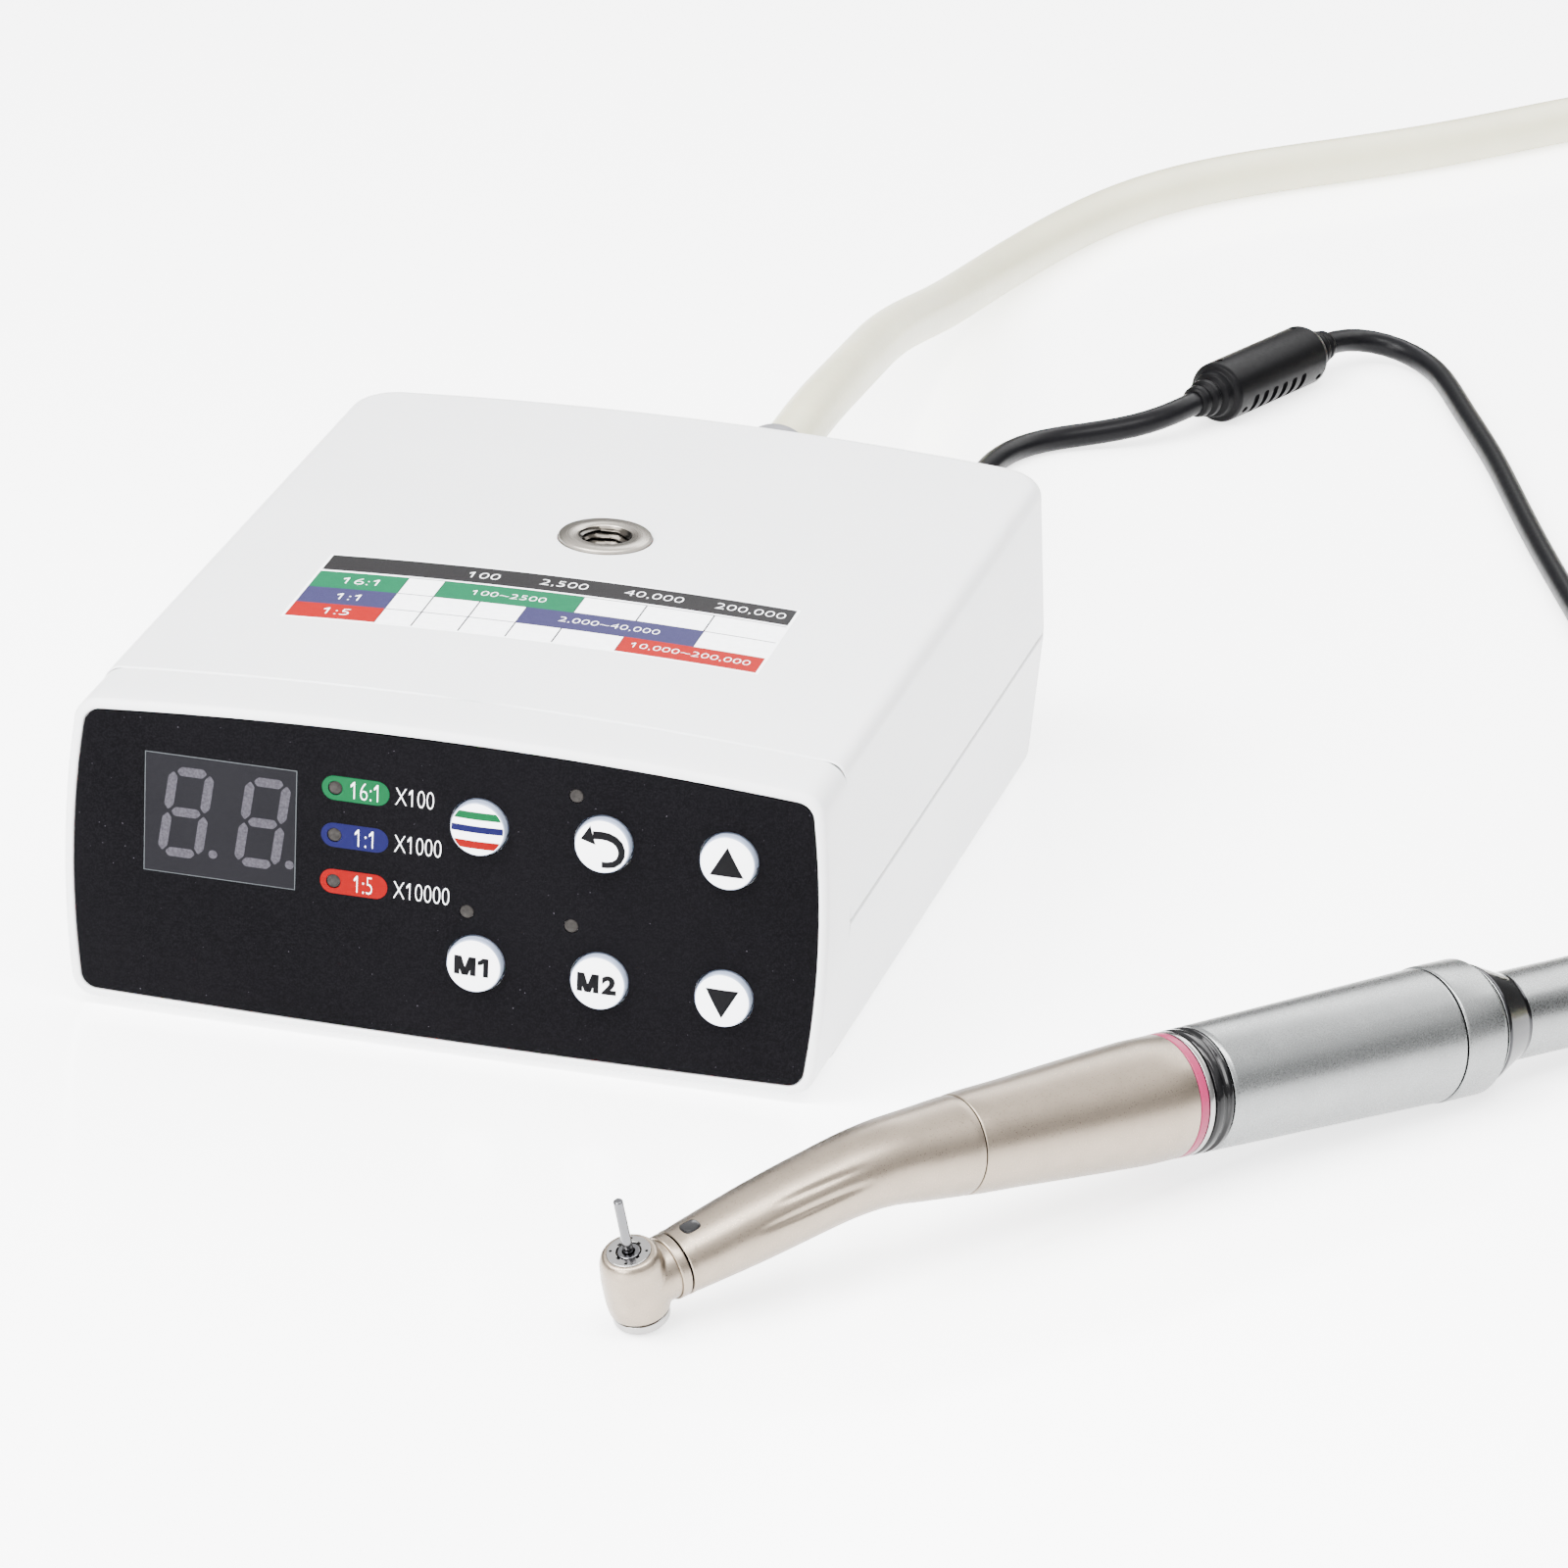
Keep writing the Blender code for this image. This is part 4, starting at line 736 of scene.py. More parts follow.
def lettering(name, text, high, wide, mapping, bold=-0.2, thick=0.05, slices=0):
    """Text fitted to a size in mm about its middle; mapping turns (x, y, z) in mm into a point."""
    data = bpy.data.curves.new(name, "FONT")
    data.body = text
    data.size = 10
    data.offset = bold
    data.resolution_u = 5
    data.fill_mode = "BOTH"
    data.extrude = 0.5
    source = link(bpy.data.objects.new(name, data))
    mesh = evaluated(source)
    bpy.data.objects.remove(source)
    bm = bmesh.new()
    bm.from_mesh(mesh)
    bmesh.ops.remove_doubles(bm, verts=bm.verts, dist=1e-4)
    flag_the_ones(bm)
    if slices:
        bmesh.ops.triangulate(bm, faces=bm.faces)
        bmesh.ops.subdivide_edges(bm, edges=bm.edges, cuts=slices, use_grid_fill=True)
    points = np.array([v.co for v in bm.verts])
    low, top = points.min(0), points.max(0)
    size, centre = top - low, (top + low) / 2
    scale = (wide or high * size[0] / size[1], high, thick)
    for v in bm.verts:
        v.co = mapping(*[(v.co[k] - centre[k]) / size[k] * scale[k] for k in range(3)])
    bm.to_mesh(mesh)
    bm.free()
    mesh.shade_flat()
    return link(bpy.data.objects.new(name, mesh))


def flag_the_ones(bm):
    """A sloping flag on each upright bar as tall as the text, which is how the font draws a one."""
    tall = max(v.co.y for v in bm.verts) - min(v.co.y for v in bm.verts)
    left = dict.fromkeys(bm.verts)  # in order, so that the mesh is the same each run
    bars = []
    while left:
        island = [left.popitem()[0]]
        for v in island:
            for edge in v.link_edges:
                other = edge.other_vert(v)
                if other in left:
                    del left[other]
                    island.append(other)
        xs, ys, zs = ([v.co[k] for v in island] for k in range(3))
        if max(ys) - min(ys) > 0.8 * tall and max(xs) - min(xs) < 0.3 * tall:
            bars.append((min(xs), max(ys), min(zs), max(zs), max(ys) - min(ys)))
    for x, y, back, face, height in bars:
        tip, root = x - 0.24 * height, x + 0.01
        outline = [(root, y), (tip, y - 0.2 * height), (tip, y - 0.34 * height), (root, y - 0.2 * height)]
        near = [bm.verts.new((px, py, face)) for px, py in outline]
        far = [bm.verts.new((px, py, back)) for px, py in outline]
        bm.faces.new(near)
        bm.faces.new(far[::-1])
        for i in range(4):
            j = (i + 1) % 4
            bm.faces.new((near[j], near[i], far[i], far[j]))


def on_panel(cx, cz, lift=0.03):
    def mapping(x, y, z):
        return spot(DESK, cx + x, FRONT_Y + PANEL_FACE - lift - z, cz + y)
    return mapping


def panel_print():
    """Three ratio pills, and the factor beside each."""
    slot = ("control_box", "black_membrane")
    rows = (("16:1", 4.5, -13.1, 43.1, "green", "X100", 6.3), ("1:1", 3.0, -13.0, 35.1, "blue", "X1000", 7.7),
            ("1:5", 3.0, -13.0, 27.2, "red", "X10000", 9.2))
    for k, (ratio, narrow, x, z, ink, factor, wide) in enumerate(rows):
        here = facing_front(-14.55, z, FRONT_Y + PANEL_FACE)
        pill = prism(f"ratio_pill_{k + 1}", stadium(5.55, 2.05), -0.3, 0.03, here)
        cut(pill, rod(1.2, -2, 2, facing_front(-17.9, z), 40))
        fit(pill, *slot, INK[ink])
        number = lettering(f"ratio_number_{k + 1}", ratio, 2.9, narrow, on_panel(x, z, 0.045))
        fit(number, *slot, INK["white"])
        times = lettering(f"ratio_factor_{k + 1}", factor, 2.9, wide, on_panel(-8.0 + wide / 2, z))
        fit(times, *slot, INK["white"])


def pilot_lights():
    for group, spots in PILOTS.items():
        parts = [lathe("post", [(0, 0.0), (0.7, -0.02), (1.12, -0.12), (1.12, -6.4), (0, -6.4)],
                       facing_front(x, z, FRONT_Y + PANEL_FACE), 32, soft=0.06) for x, z in spots]
        xs, zs = [x for x, _ in spots], [z for _, z in spots]
        parts.append(block("rail", (min(xs) - 1.3, min(zs) - 1.3, -7.6), (max(xs) + 1.3, max(zs) + 1.3, -6),
                           facing_front(0, 0, FRONT_Y + PANEL_FACE), 0.2))
        fit(merged(group + "_pilots", parts), "control_box", "light_pipe", PILOT, group + "_light_pipe")


def dome(x, y):
    """Height of a key's face above the front plane, in mm."""
    r = min(math.hypot(x, y), KEY_EDGE)
    return 1.08 + 0.3 * (1 - (r / KEY_EDGE) ** 2)


def on_key(cx, cz):
    def mapping(x, y, z):
        return spot(DESK, cx + x, FRONT_Y - dome(x, y) - 0.03 - z, cz + y)
    return mapping


def key_symbol(name, outline_rows, mapping, columns=14):
    """A flat symbol given as rows of (left x, right x, y), draped by mapping."""
    verts, faces = [], []
    for left, right, y in outline_rows:
        for z in (0.0, -PRINT_DEPTH):
            verts += [mapping(left + (right - left) * i / columns, y, z) for i in range(columns + 1)]
    step, count = columns + 1, len(outline_rows)
    for r in range(count - 1):
        a, b = r * 2 * step, (r + 1) * 2 * step
        for i in range(columns):
            faces.append((a + i, a + i + 1, b + i + 1, b + i))
            faces.append((a + step + i, b + step + i, b + step + i + 1, a + step + i + 1))
        faces.append((a, b, b + step, a + step))
        faces.append((a + columns, a + step + columns, b + step + columns, b + columns))
    last = (count - 1) * 2 * step
    for i in range(columns):
        faces.append((i, step + i, step + i + 1, i + 1))
        faces.append((last + i, last + i + 1, last + step + i + 1, last + step + i))
    return mesh_object(name, verts, faces)


def stroke(points, widths):
    """Pairs of points on the two borders of a curved stroke."""
    pts = [Vector(p) for p in points]
    pairs = []
    for p, way, width in zip(pts, ways_along(pts), widths):
        side = Vector((-way.y, way.x)) * width / 2
        pairs.append((p + side, p - side))
    return pairs


def key_marks(name, mapping):
    """Each mark on one key, with its ink."""
    if name == "up":
        rows = [(-2.75 * (1 - t), 2.75 * (1 - t), -2.1 + 4.9 * t) for t in np.linspace(0, 0.985, 12)]
        yield "black", key_symbol("up_mark", rows, mapping)
    elif name == "down":
        rows = [(-2.7 * t, 2.7 * t, -2.9 + 4.85 * t) for t in np.linspace(0.015, 1, 12)]
        yield "black", key_symbol("down_mark", rows, mapping)
    elif name == "reverse":
        tip, high, low = Vector((-3.45, 0.95)), Vector((-1.95, 3.35)), Vector((-0.95, 0.3))
        arrow_head = [(tip.lerp(low, t), tip.lerp(high, t)) for t in np.linspace(0.02, 1, 8)]
        for part, pairs, lift in (("stroke", stroke(*ARROW), 0), ("head", arrow_head, 0.01)):
            yield "black", loft("reverse_" + part, [
                [mapping(a.x, a.y, lift), mapping(b.x, b.y, lift), mapping(b.x, b.y, -PRINT_DEPTH),
                 mapping(a.x, a.y, -PRINT_DEPTH)] for a, b in pairs
            ])
    elif name == "ratio":
        for low, high, ink in ((1.75, 2.95, "green"), (-0.45, 0.65, "blue"), (-3.2, -1.9, "red")):
            reach = [(math.sqrt(4.22 ** 2 - y * y), y) for y in np.linspace(low, high, 5)]
            yield ink, key_symbol("stripe_" + ink, [(-x, x, y) for x, y in reach], mapping)
    else:
        yield from (("black", mark) for mark in memory_marks(name[-1], mapping))


def memory_marks(number, mapping):
    """An M as four limbs, each given by its left and right x at the head and at the foot, and its number."""
    shift = -1.35 if number == "1" else -1.5
    limbs = [
        ((-1.8, -0.88), (-1.8, -0.88)), ((0.88, 1.8), (0.88, 1.8)),
        ((-1.8, -0.62), (-0.5, 0.5)), ((0.62, 1.8), (-0.5, 0.5)),
    ]
    for k, (head, foot) in enumerate(limbs):
        rows = []
        for t in np.linspace(0, 1, 6):
            left, right = (head[i] + (foot[i] - head[i]) * t + shift for i in (0, 1))
            rows.append((left, right, 1.6 - 3.2 * t))
        yield key_symbol(f"memory_{number}_limb_{k + 1}", rows, mapping)
    if number == "1":
        bar = [(1.65, 2.5, 1.6), (1.65, 2.5, 0.5), (1.65, 2.5, -1.6)]
        flag = [(1.5, 1.75, 1.6), (1.2, 1.75, 1.3), (0.75, 1.75, 1.05), (0.75, 1.75, 0.75), (0.75, 1.2, 0.42)]
        yield key_symbol("memory_1_bar", bar, mapping)
        yield key_symbol("memory_1_flag", flag, mapping)
    else:
        yield lettering("memory_number_2", number, 3.2, 2.3,
                        lambda x, y, z: mapping(x + 1.95, y, z + 0.01), bold=0.5, thick=PRINT_DEPTH, slices=1)


def keys():
    profile = [(0, 1.38)] + [(r, dome(r, 0)) for r in (1, 2, 3, 3.7, 4.1, KEY_EDGE)]
    profile += [(4.42, 1.0), (4.52, 0.8), (4.55, 0.5), (4.55, -3), (5.6, -3), (5.6, -3.8), (1.6, -3.8),
                (1.6, -5), (0, -5)]
    for name, (x, z) in BUTTONS.items():
        key = lathe(name + "_key_cap", profile, facing_front(x, z), 72, soft=0.05)
        fit(key, name + "_key", "button_dome", KEY_WHITE, name + "_button")
        # Each key's edge gets the darker bluish finish, partly painted shade at the key's foot.
        second_finish(key, KEY_RIM_AND_SHADE, facing_front(x, z), lambda p: math.hypot(p.x, p.y) > 4.32)
    for name, centre in BUTTONS.items():
        for ink, mark in key_marks(name, on_key(*centre)):
            fit(mark, name + "_key", "button_dome", INK[ink])


# ---------------------------------------------------------------- label and insert on the top
LABEL_MIDDLE, LABEL_TILT = (-1.0, -19.9), math.radians(1.1)


def on_label(u, v, lift):
    x = LABEL_MIDDLE[0] + u * math.cos(LABEL_TILT) - v * math.sin(LABEL_TILT)
    y = LABEL_MIDDLE[1] + u * math.sin(LABEL_TILT) + v * math.cos(LABEL_TILT)
    return spot(DESK, x, y, roof(x) + lift)


def label_sheet(name, u0, u1, v0, v1, lift, finish):
    """A thin printed field that follows the top's crown."""
    columns = max(2, int(abs(u1 - u0) / 2.5))
    rings = []
    for i in range(columns + 1):
        u = u0 + (u1 - u0) * i / columns
        corners = ((v0, lift), (v1, lift), (v1, lift - 0.12), (v0, lift - 0.12))
        rings.append([on_label(u, v, height) for v, height in corners])
    fit(loft(name, rings), "control_box", "white_abs", finish)


def label():
    """The chart: header, coloured cells and bars, numbers, and ruled lines."""
    label_sheet("label_paper", -39.7, 39.7, -14.8, 14.8, 0.05, INK["label"])
    label_sheet("label_header", -39.2, 39.2, 7.5, 14.4, 0.065, INK["charcoal"])
    rows = {
        "green": (6.8, -0.6, -18.0, 5.4), "blue": (-0.6, -7.9, -2.3, 27.2), "red": (-7.9, -14.4, 15.9, 39.2),
    }
    for ink, (high, low, start, end) in rows.items():
        label_sheet(f"label_cell_{ink}", -39.2, -24.2, low, high, 0.065, INK["label_" + ink])
        label_sheet(f"label_bar_{ink}", start, end, low, high, 0.065, INK["label_" + ink])
    numbers = {
        "ratio": (("16:1", 2.7, -31.4, 3.1), ("1:1", 2.7, -31.4, -4.25), ("1:5", 2.7, -31.4, -11.1)),
        "speed": (("100", 2.5, -12.6, 10.9), ("2,500", 2.9, 0.9, 10.9), ("40,000", 2.9, 16.0, 10.9),
                  ("200,000", 2.9, 32.2, 10.9)),
        "span": (("100~2500", 2.1, -6.3, 3.1), ("2,000~40,000", 2.4, 12.4, -4.25),
                 ("10,000~200,000", 2.4, 27.6, -11.1)),
    }
    for kind, entries in numbers.items():
        for k, (text, high, u, v) in enumerate(entries):
            number = lettering(f"label_{kind}_{k + 1}", text, high, None,
                               lambda x, y, z, u=u, v=v: on_label(u + x, v + y, 0.09 + z), thick=0.03)
            fit(number, "control_box", "white_abs", INK["white"])
    lines = [("v", -24.2, 6.8, -14.4), ("v", -18.0, 6.8, -14.4), ("v", -10.2, -0.6, -14.4),
             ("v", -2.3, -0.6, -14.4), ("v", 5.4, 6.8, -0.6), ("v", 5.4, -7.9, -14.4),
             ("v", 15.9, 6.8, -0.6), ("v", 15.9, -7.9, -14.4), ("v", 27.2, 6.8, -7.9),
             ("h", 6.8, -24.2, 39.2), ("h", -0.6, -24.2, 39.2), ("h", -7.9, -24.2, 39.2)]
    for k, (kind, at, start, end) in enumerate(lines):
        span = (at - 0.13, at + 0.13, end, start) if kind == "v" else (start, end, at - 0.13, at + 0.13)
        label_sheet(f"label_line_{k + 1}", *span, 0.06, INK["line"])


def insert():
    """A flanged bush whose bore carries a real thread."""
    here = DESK @ move(0, 14.4, 0)
    pitch, major, minor = 1.25, 4.25, 3.7
    steps, turns, per_turn = 72, 11, 8
    top, bottom = 55.2, 39.0
    count = turns * per_turn
    outside = softened([(7.5, 55.6), (7.76, 55.35), (7.76, 53.4), (6.0, 53.4), (6.0, bottom)], 0.06, False)
    outside = [(4.75, 55.6)] + outside + [(5.2, bottom), (major + 0.3, bottom + 0.3)]
    rings = []
    for k, angle in enumerate(angles(steps)):
        thread = []
        for i in range(count + 1):
            z = bottom + 0.6 + (top - 0.9 - bottom) * i / count
            phase = (z / pitch - k / steps) % 1
            thread.append((minor + (major - minor) * abs(2 * phase - 1), z))
        ring = outside + thread + [(4.3, top - 0.15), (4.45, top + 0.2)]
        rings.append([spot(here, r * math.cos(angle), r * math.sin(angle), z) for r, z in ring])
    bush = loft("insert_bush", rings, closed=True, sharp=50)
    fit(bush, "control_box", "nickel", INSERT_NICKEL, "threaded_insert")
    # The bore and thread take the darkened steel: painted shade inside the hole.
    second_finish(bush, BORE_STEEL_PAINTED_SHADE, here, lambda p: math.hypot(p.x, p.y) < 4.55)


def turned_finish(name, colour, rough, centre):
    """Metal with fine turning marks round a vertical axis at centre."""
    made, tree, shader = node_material(name)
    value = tree.nodes.new("ShaderNodeTexCoord").outputs["Object"]
    for operation, operand in (("SUBTRACT", centre), ("MULTIPLY", (1, 1, 0)), ("LENGTH", None)):
        step = tree.nodes.new("ShaderNodeVectorMath")
        step.operation = operation
        if operand:
            step.inputs[1].default_value = operand
        tree.links.new(value, step.inputs[0])
        value = step.outputs["Value" if operation == "LENGTH" else "Vector"]
    rings = tree.nodes.new("ShaderNodeTexNoise")
    rings.noise_dimensions = "1D"
    put(rings, Scale=9000)
    tree.links.new(value, rings.inputs["W"])
    marks = rings.outputs["Fac"]
    raised(tree, shader, marks, 0.35, 0.006)
    tree.links.new(ranged(tree, marks, rough - 0.06, rough + 0.08), shader.inputs["Roughness"])
    darker = tuple(c * 0.9 for c in colour)
    tree.links.new(mixed(tree, ranged(tree, marks, 0, 1), darker, colour), shader.inputs["Base Color"])
    put(shader, Metallic=1)
    return made


INSERT_NICKEL = turned_finish(
    "insert_nickel", (0.3, 0.275, 0.24), 0.3, tuple(DESK @ Vector((0, 0.0144, 0)))
)


# ---------------------------------------------------------------- rear fittings
def rear_fittings():
    gland = facing_rear(8, 41)
    fit(lathe("gland_body", [
        (4.95, 21.1), (6.1, 21.1), (6.6, 20.1), (6.75, 17.8), (6.45, 17.4), (6.45, 16.6), (6.85, 16.2),
        (6.95, 14.2), (6.65, 13.8), (6.65, 13.0), (7.05, 12.6), (7.15, 10.4), (6.85, 10.0), (6.85, 9.2),
        (7.25, 8.8), (7.4, 4.4), (8.4, 3.4), (8.4, 0.3), (5.2, 0.3), (5.2, -6), (2.6, -6), (2.6, 12),
        (4.95, 12),
    ], gland, 72, True), "control_box", "grey_plastic", GREY, "hose_gland")
    jack = facing_rear(34, 15)
    fit(lathe("jack_body", [
        (0, -0.6), (1, -0.6), (1, -9), (3.3, -9), (3.3, 0.9), (5.4, 0.9), (5.4, 0.3), (4, 0.3), (4, -11),
        (0, -11),
    ], jack, 48), *MOULDED, "dc_jack")
    plug = lathe("plug_body", [
        (0, 29.8), (2.35, 29.8), (3.0, 26.6), (2.75, 26.3), (2.8, 25.6), (3.15, 25.3), (3.2, 23.4),
        (2.95, 23.1), (3.0, 22.4), (3.4, 22.1), (3.5, 20.2), (3.9, 19), (4.9, 17), (5.2, 14), (5.2, 4),
        (4.9, 1.2), (2.8, 1.2), (2.8, -8.5), (1.35, -8.5), (1.35, 0), (0, 0),
    ], jack, 64)
    cut(plug, *[
        block("rib", (4.75, -0.35, 4.5), (6, 0.35, 13.5), jack @ turn(30 * k, "Z"), 0) for k in range(12)
    ])
    fit(plug, *MOULDED, "dc_plug")
    socket = facing_rear(-34, 15)
    body = lathe("socket_body", [
        (0, 12), (6.5, 12), (7, 11.5), (7, 2.6), (9.1, 2.6), (9.5, 2.2), (9.5, 0.3), (7, 0.3), (7, -9),
        (0, -9),
    ], socket, 72)
    holes = [
        rod(r, 5, 14, socket @ turn(10, "Z") @ move(x, y, 0), 32)
        for x, y, r in ((0, 3.6, 1.5), (0, -3.6, 1.5), (3.6, 0, 1.1), (-3.6, 0, 1.1))
    ]
    grooves = [
        lathe("groove", [(6.75, z), (7.5, z + 0.3), (7.5, z - 0.3)], socket, 72, True, 0)
        for z in (10, 8.6, 7.2, 5.8)
    ]
    cut(body, *holes, *grooves)
    fit(body, "control_box", "nickel", NICKEL, "supply_inlet")


def inner_finishes():
    """Finishes for the CAD solids that show through openings or not at all."""
    steel = ("insert_nut", "front_bearing", "rear_bearing", "rotor", "drive_shaft", "idler_shaft",
             "chuck_spindle", "motor_nose")
    finishes = dict.fromkeys(steel, STEEL)
    finishes.update(main_board=BOARD, front_board=BOARD, display_module=DARK, stator=COPPER)
    for node, finish in finishes.items():
        materials = frame["nodes"][node].data.materials
        materials.clear()
        materials.append(finish)


# ---------------------------------------------------------------- cords
HOSE_NEAR = [
    (8, 91, 41), (8, 104, 40.9), (7.2, 122, 40), (6, 143, 37.6), (4.4, 164, 34.2), (2.4, 185, 30.4),
    (0.4, 207, 26.2), (-1.1, 235, 20), (-1.9, 265, 13.2), (-1.6, 296, 8), (1, 322, 5.4),
    (6.8, 347, 4.7), (16.3, 370, 4.6), (29.5, 388, 4.6), (46, 404, 4.6), (64, 422, 4.6),
    (84, 446, 4.6), (105, 468, 4.6), (130, 482, 4.6), (160, 486, 4.6), (190, 477, 4.6),
    (217, 455, 4.6), (236, 423, 4.6), (246, 386, 4.6), (250, 346, 4.6), (250.5, 300, 4.6),
    (250, 250, 4.6), (250, 202.5, 4.6),
]
HOSE_FAR = [
    (249.8, 137.6, 13.5), (249.3, 126, 12), (248.1, 113, 9.6), (246, 99, 7.2), (241.5, 83, 5.3),
    (233, 64, 4.8), (221, 46, 5), (207, 29, 6), (195, 14, 7.6), (183.6, -0.6, 8.6),
]
LEAD_NEAR = [
    (34, 107.5, 15), (33.8, 118, 14), (32.6, 132, 10.4), (30.2, 147, 6.2), (27, 163, 3.4),
    (23.6, 180, 2.4), (21, 197, 2.2), (20.8, 212, 2.2), (25.6, 225.5, 2.3), (36, 233.4, 2.9),
    (45.2, 238.4, 4.6), (50.9, 247, 5.8),
]
FERRITE = ((51.3, 247.9, 5.9), (68.1, 289.4, 5.9))
BEAD_MIDDLE = (59.7, 268.6, 5.9)
LEAD_FAR = [
    (68.4, 290.2, 5.9), (71.8, 296.6, 5.2), (78.6, 300, 3.7), (87.3, 295, 2.5), (93.6, 284, 2.2),
    (100, 269, 2.2), (108, 250.5, 2.2), (116.5, 228.5, 2.2), (125.3, 205.5, 2.2),
    (134.6, 182.6, 2.2), (143.6, 160.5, 2.2), (151.4, 139, 2.2), (157.2, 117.5, 2.2),
]
LEAD_TAIL = [
    (210.8, 118, 6.8), (210.1, 128, 8), (207.8, 139, 10.8), (205, 149, 13.8), (203.3, 157, 15.6),
    (203, 163.3, 16),
]


def natural_spline(points, spacing):
    """Points about spacing mm apart on the smooth curve through points (mm)."""
    knots = np.array(points, float)
    t = np.concatenate([[0], np.cumsum(np.linalg.norm(np.diff(knots, axis=0), axis=1))])
    h = np.diff(t)
    n = len(knots)
    system = np.zeros((n, n))
    right = np.zeros((n, 3))
    system[0, 0] = system[-1, -1] = 1
    for i in range(1, n - 1):
        system[i, i - 1], system[i, i], system[i, i + 1] = h[i - 1], 2 * (h[i - 1] + h[i]), h[i]
        right[i] = 6 * ((knots[i + 1] - knots[i]) / h[i] - (knots[i] - knots[i - 1]) / h[i - 1])
    bend = np.linalg.solve(system, right)
    made = []
    for at in np.linspace(0, t[-1], max(4, round(t[-1] / spacing) + 1)):
        i = min(int(np.searchsorted(t, at, side="right")) - 1, n - 2)
        a, b = t[i + 1] - at, at - t[i]
        made.append(
            (bend[i] * a**3 + bend[i + 1] * b**3) / (6 * h[i])
            + (knots[i] / h[i] - bend[i] * h[i] / 6) * a
            + (knots[i + 1] / h[i] - bend[i + 1] * h[i] / 6) * b
        )
    return made


def eased(value, start, end):
    t = min(max((value - start) / (end - start), 0), 1)
    return t * t * (3 - 2 * t)


def coil(centre, outer, inner, low, high, turns):
    """Two turns on the desk, outer then inner, and up to two above them, inner then outer."""
    made = []
    steps = int(turns * 48)
    for k in range(1, steps):
        at = turns * k / steps
        radius = outer + (inner - outer) * eased(at, 0.84, 1.0) + (outer - inner) * eased(at, 2.12, 2.5)
        z = low + (high - low) * eased(at, 1.62, 1.83)
        angle = math.pi + 2 * math.pi * at
        made.append((centre[0] + radius * math.cos(angle), centre[1] + radius * math.sin(angle), z))
    return made


def tube(name, path, radius, sides):
    """A round tube along path, both in mm, with rounded ends."""
    points = [Vector(p) for p in path]
    last = len(points) - 1
    ways = ways_along(points)
    side = ways[0].orthogonal().normalized()
    rings = []
    for i, (point, way) in enumerate(zip(points, ways)):
        side = (side - side.dot(way) * way).normalized()
        other = way.cross(side)
        for slide, scale in [(-0.3, 0.82)] * (i == 0) + [(0, 1.0)] + [(0.3, 0.82)] * (i == last):
            middle = point + way * slide * radius * 0.3
            rings.append([
                DESK @ ((middle + (side * math.cos(a) + other * math.sin(a)) * radius * scale) * MM)
                for a in angles(sides)
            ])
    return loft(name, rings)


def world_path(path):
    return [tuple(DESK @ (Vector(p) * MM)) for p in path]


def hose():
    near, far = natural_spline(HOSE_NEAR, 6), natural_spline(HOSE_FAR, 5)
    coiled = coil((299.5, 170), 49.6, 40.4, 4.6, 13.8, 3)
    path = smoothed([*near, *coiled, (249.9, 170, 13.8), (249.9, 153, 13.8), *far])
    made = tube("motor_hose", path, 4.6, 28)
    made.data.materials.append(SILICONE)
    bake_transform(made)
    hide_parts("motor_hose_near", "motor_hose_coil", "motor_hose_far")
    length_of(path)
    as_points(world_path(path))


def smoothed(path, passes=3):
    """The path with its joints between stretches eased, ends kept."""
    points = np.array([tuple(p) for p in path], float)
    for _ in range(passes):
        points[1:-1] = 0.25 * points[:-2] + 0.5 * points[1:-1] + 0.25 * points[2:]
    return [Vector(p) for p in points]


def length_of(path):
    return sum((Vector(a) - Vector(b)).length for a, b in zip(path, path[1:])) * MM


def lead():
    near, tail = natural_spline([*LEAD_NEAR, BEAD_MIDDLE, *LEAD_FAR], 3), natural_spline(LEAD_TAIL, 3)
    coiled = coil((185.1, 100), 26.2, 21.8, 2.2, 6.6, 3.5)
    within_supply = [(203, y, 16) for y in range(170, 226, 8)]
    path = smoothed([*near, *coiled, *tail, *within_supply])
    made = tube("power_lead", path, 2.2, 20)
    fit(made, "control_box", "lead_black", LEAD, "power_cord_near", "power_cord_far", "power_cord_tail",
        "power_cord_coil")
    bead = ferrite()
    supply = adapter()
    length_of(path)
    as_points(world_path(path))


def along(start, end):
    way = Vector(end) - Vector(start)
    return DESK @ Matrix.Translation(Vector(start) * MM) @ way.to_track_quat("Z", "X").to_matrix().to_4x4()


def ferrite():
    """The moulded bead with stepped boots, ribbed flanks and small mould holes."""
    here = along(*FERRITE)
    long = (Vector(FERRITE[1]) - Vector(FERRITE[0])).length
    core = long - 7.5
    boot = [(2.3, 0), (2.9, 0.4), (3.1, 1.6), (2.6, 2.0), (2.6, 2.6), (3.5, 3.0), (3.6, 4.2), (3.0, 4.6),
            (3.0, 5.2), (4.2, 5.6), (4.5, 7.0)]
    profile = [(0, 0)] + boot + [(5.5, 7.3), (5.8, 8.0), (5.8, core - 0.8), (5.4, core + 0.2)]
    profile += [(r, long - h) for r, h in reversed(boot[:-1])] + [(0, long)]
    bead = lathe("ferrite_bead", profile, here, 96, soft=0.22)
    cuts = []
    for way in (-62, 118):
        flank = here @ turn(way, "Z")
        for k in range(6):
            low, high = 12.2 + 3.2 * k, 13.8 + 3.2 * k
            cuts.append(block("rib_gap", (4.9, -2.4, low), (7, 2.4, high), flank, 0.35, 2))
        for h in (9.9, core - 2.3):
            for place in (flank, flank @ turn(48, "Z")):
                cuts.append(rod(0.75, 4.2, 7, place @ move(0, 0, h) @ turn(90, "Y"), 20))
    cut(bead, *cuts)
    return fit(bead, *MOULDED, "ferrite_core")


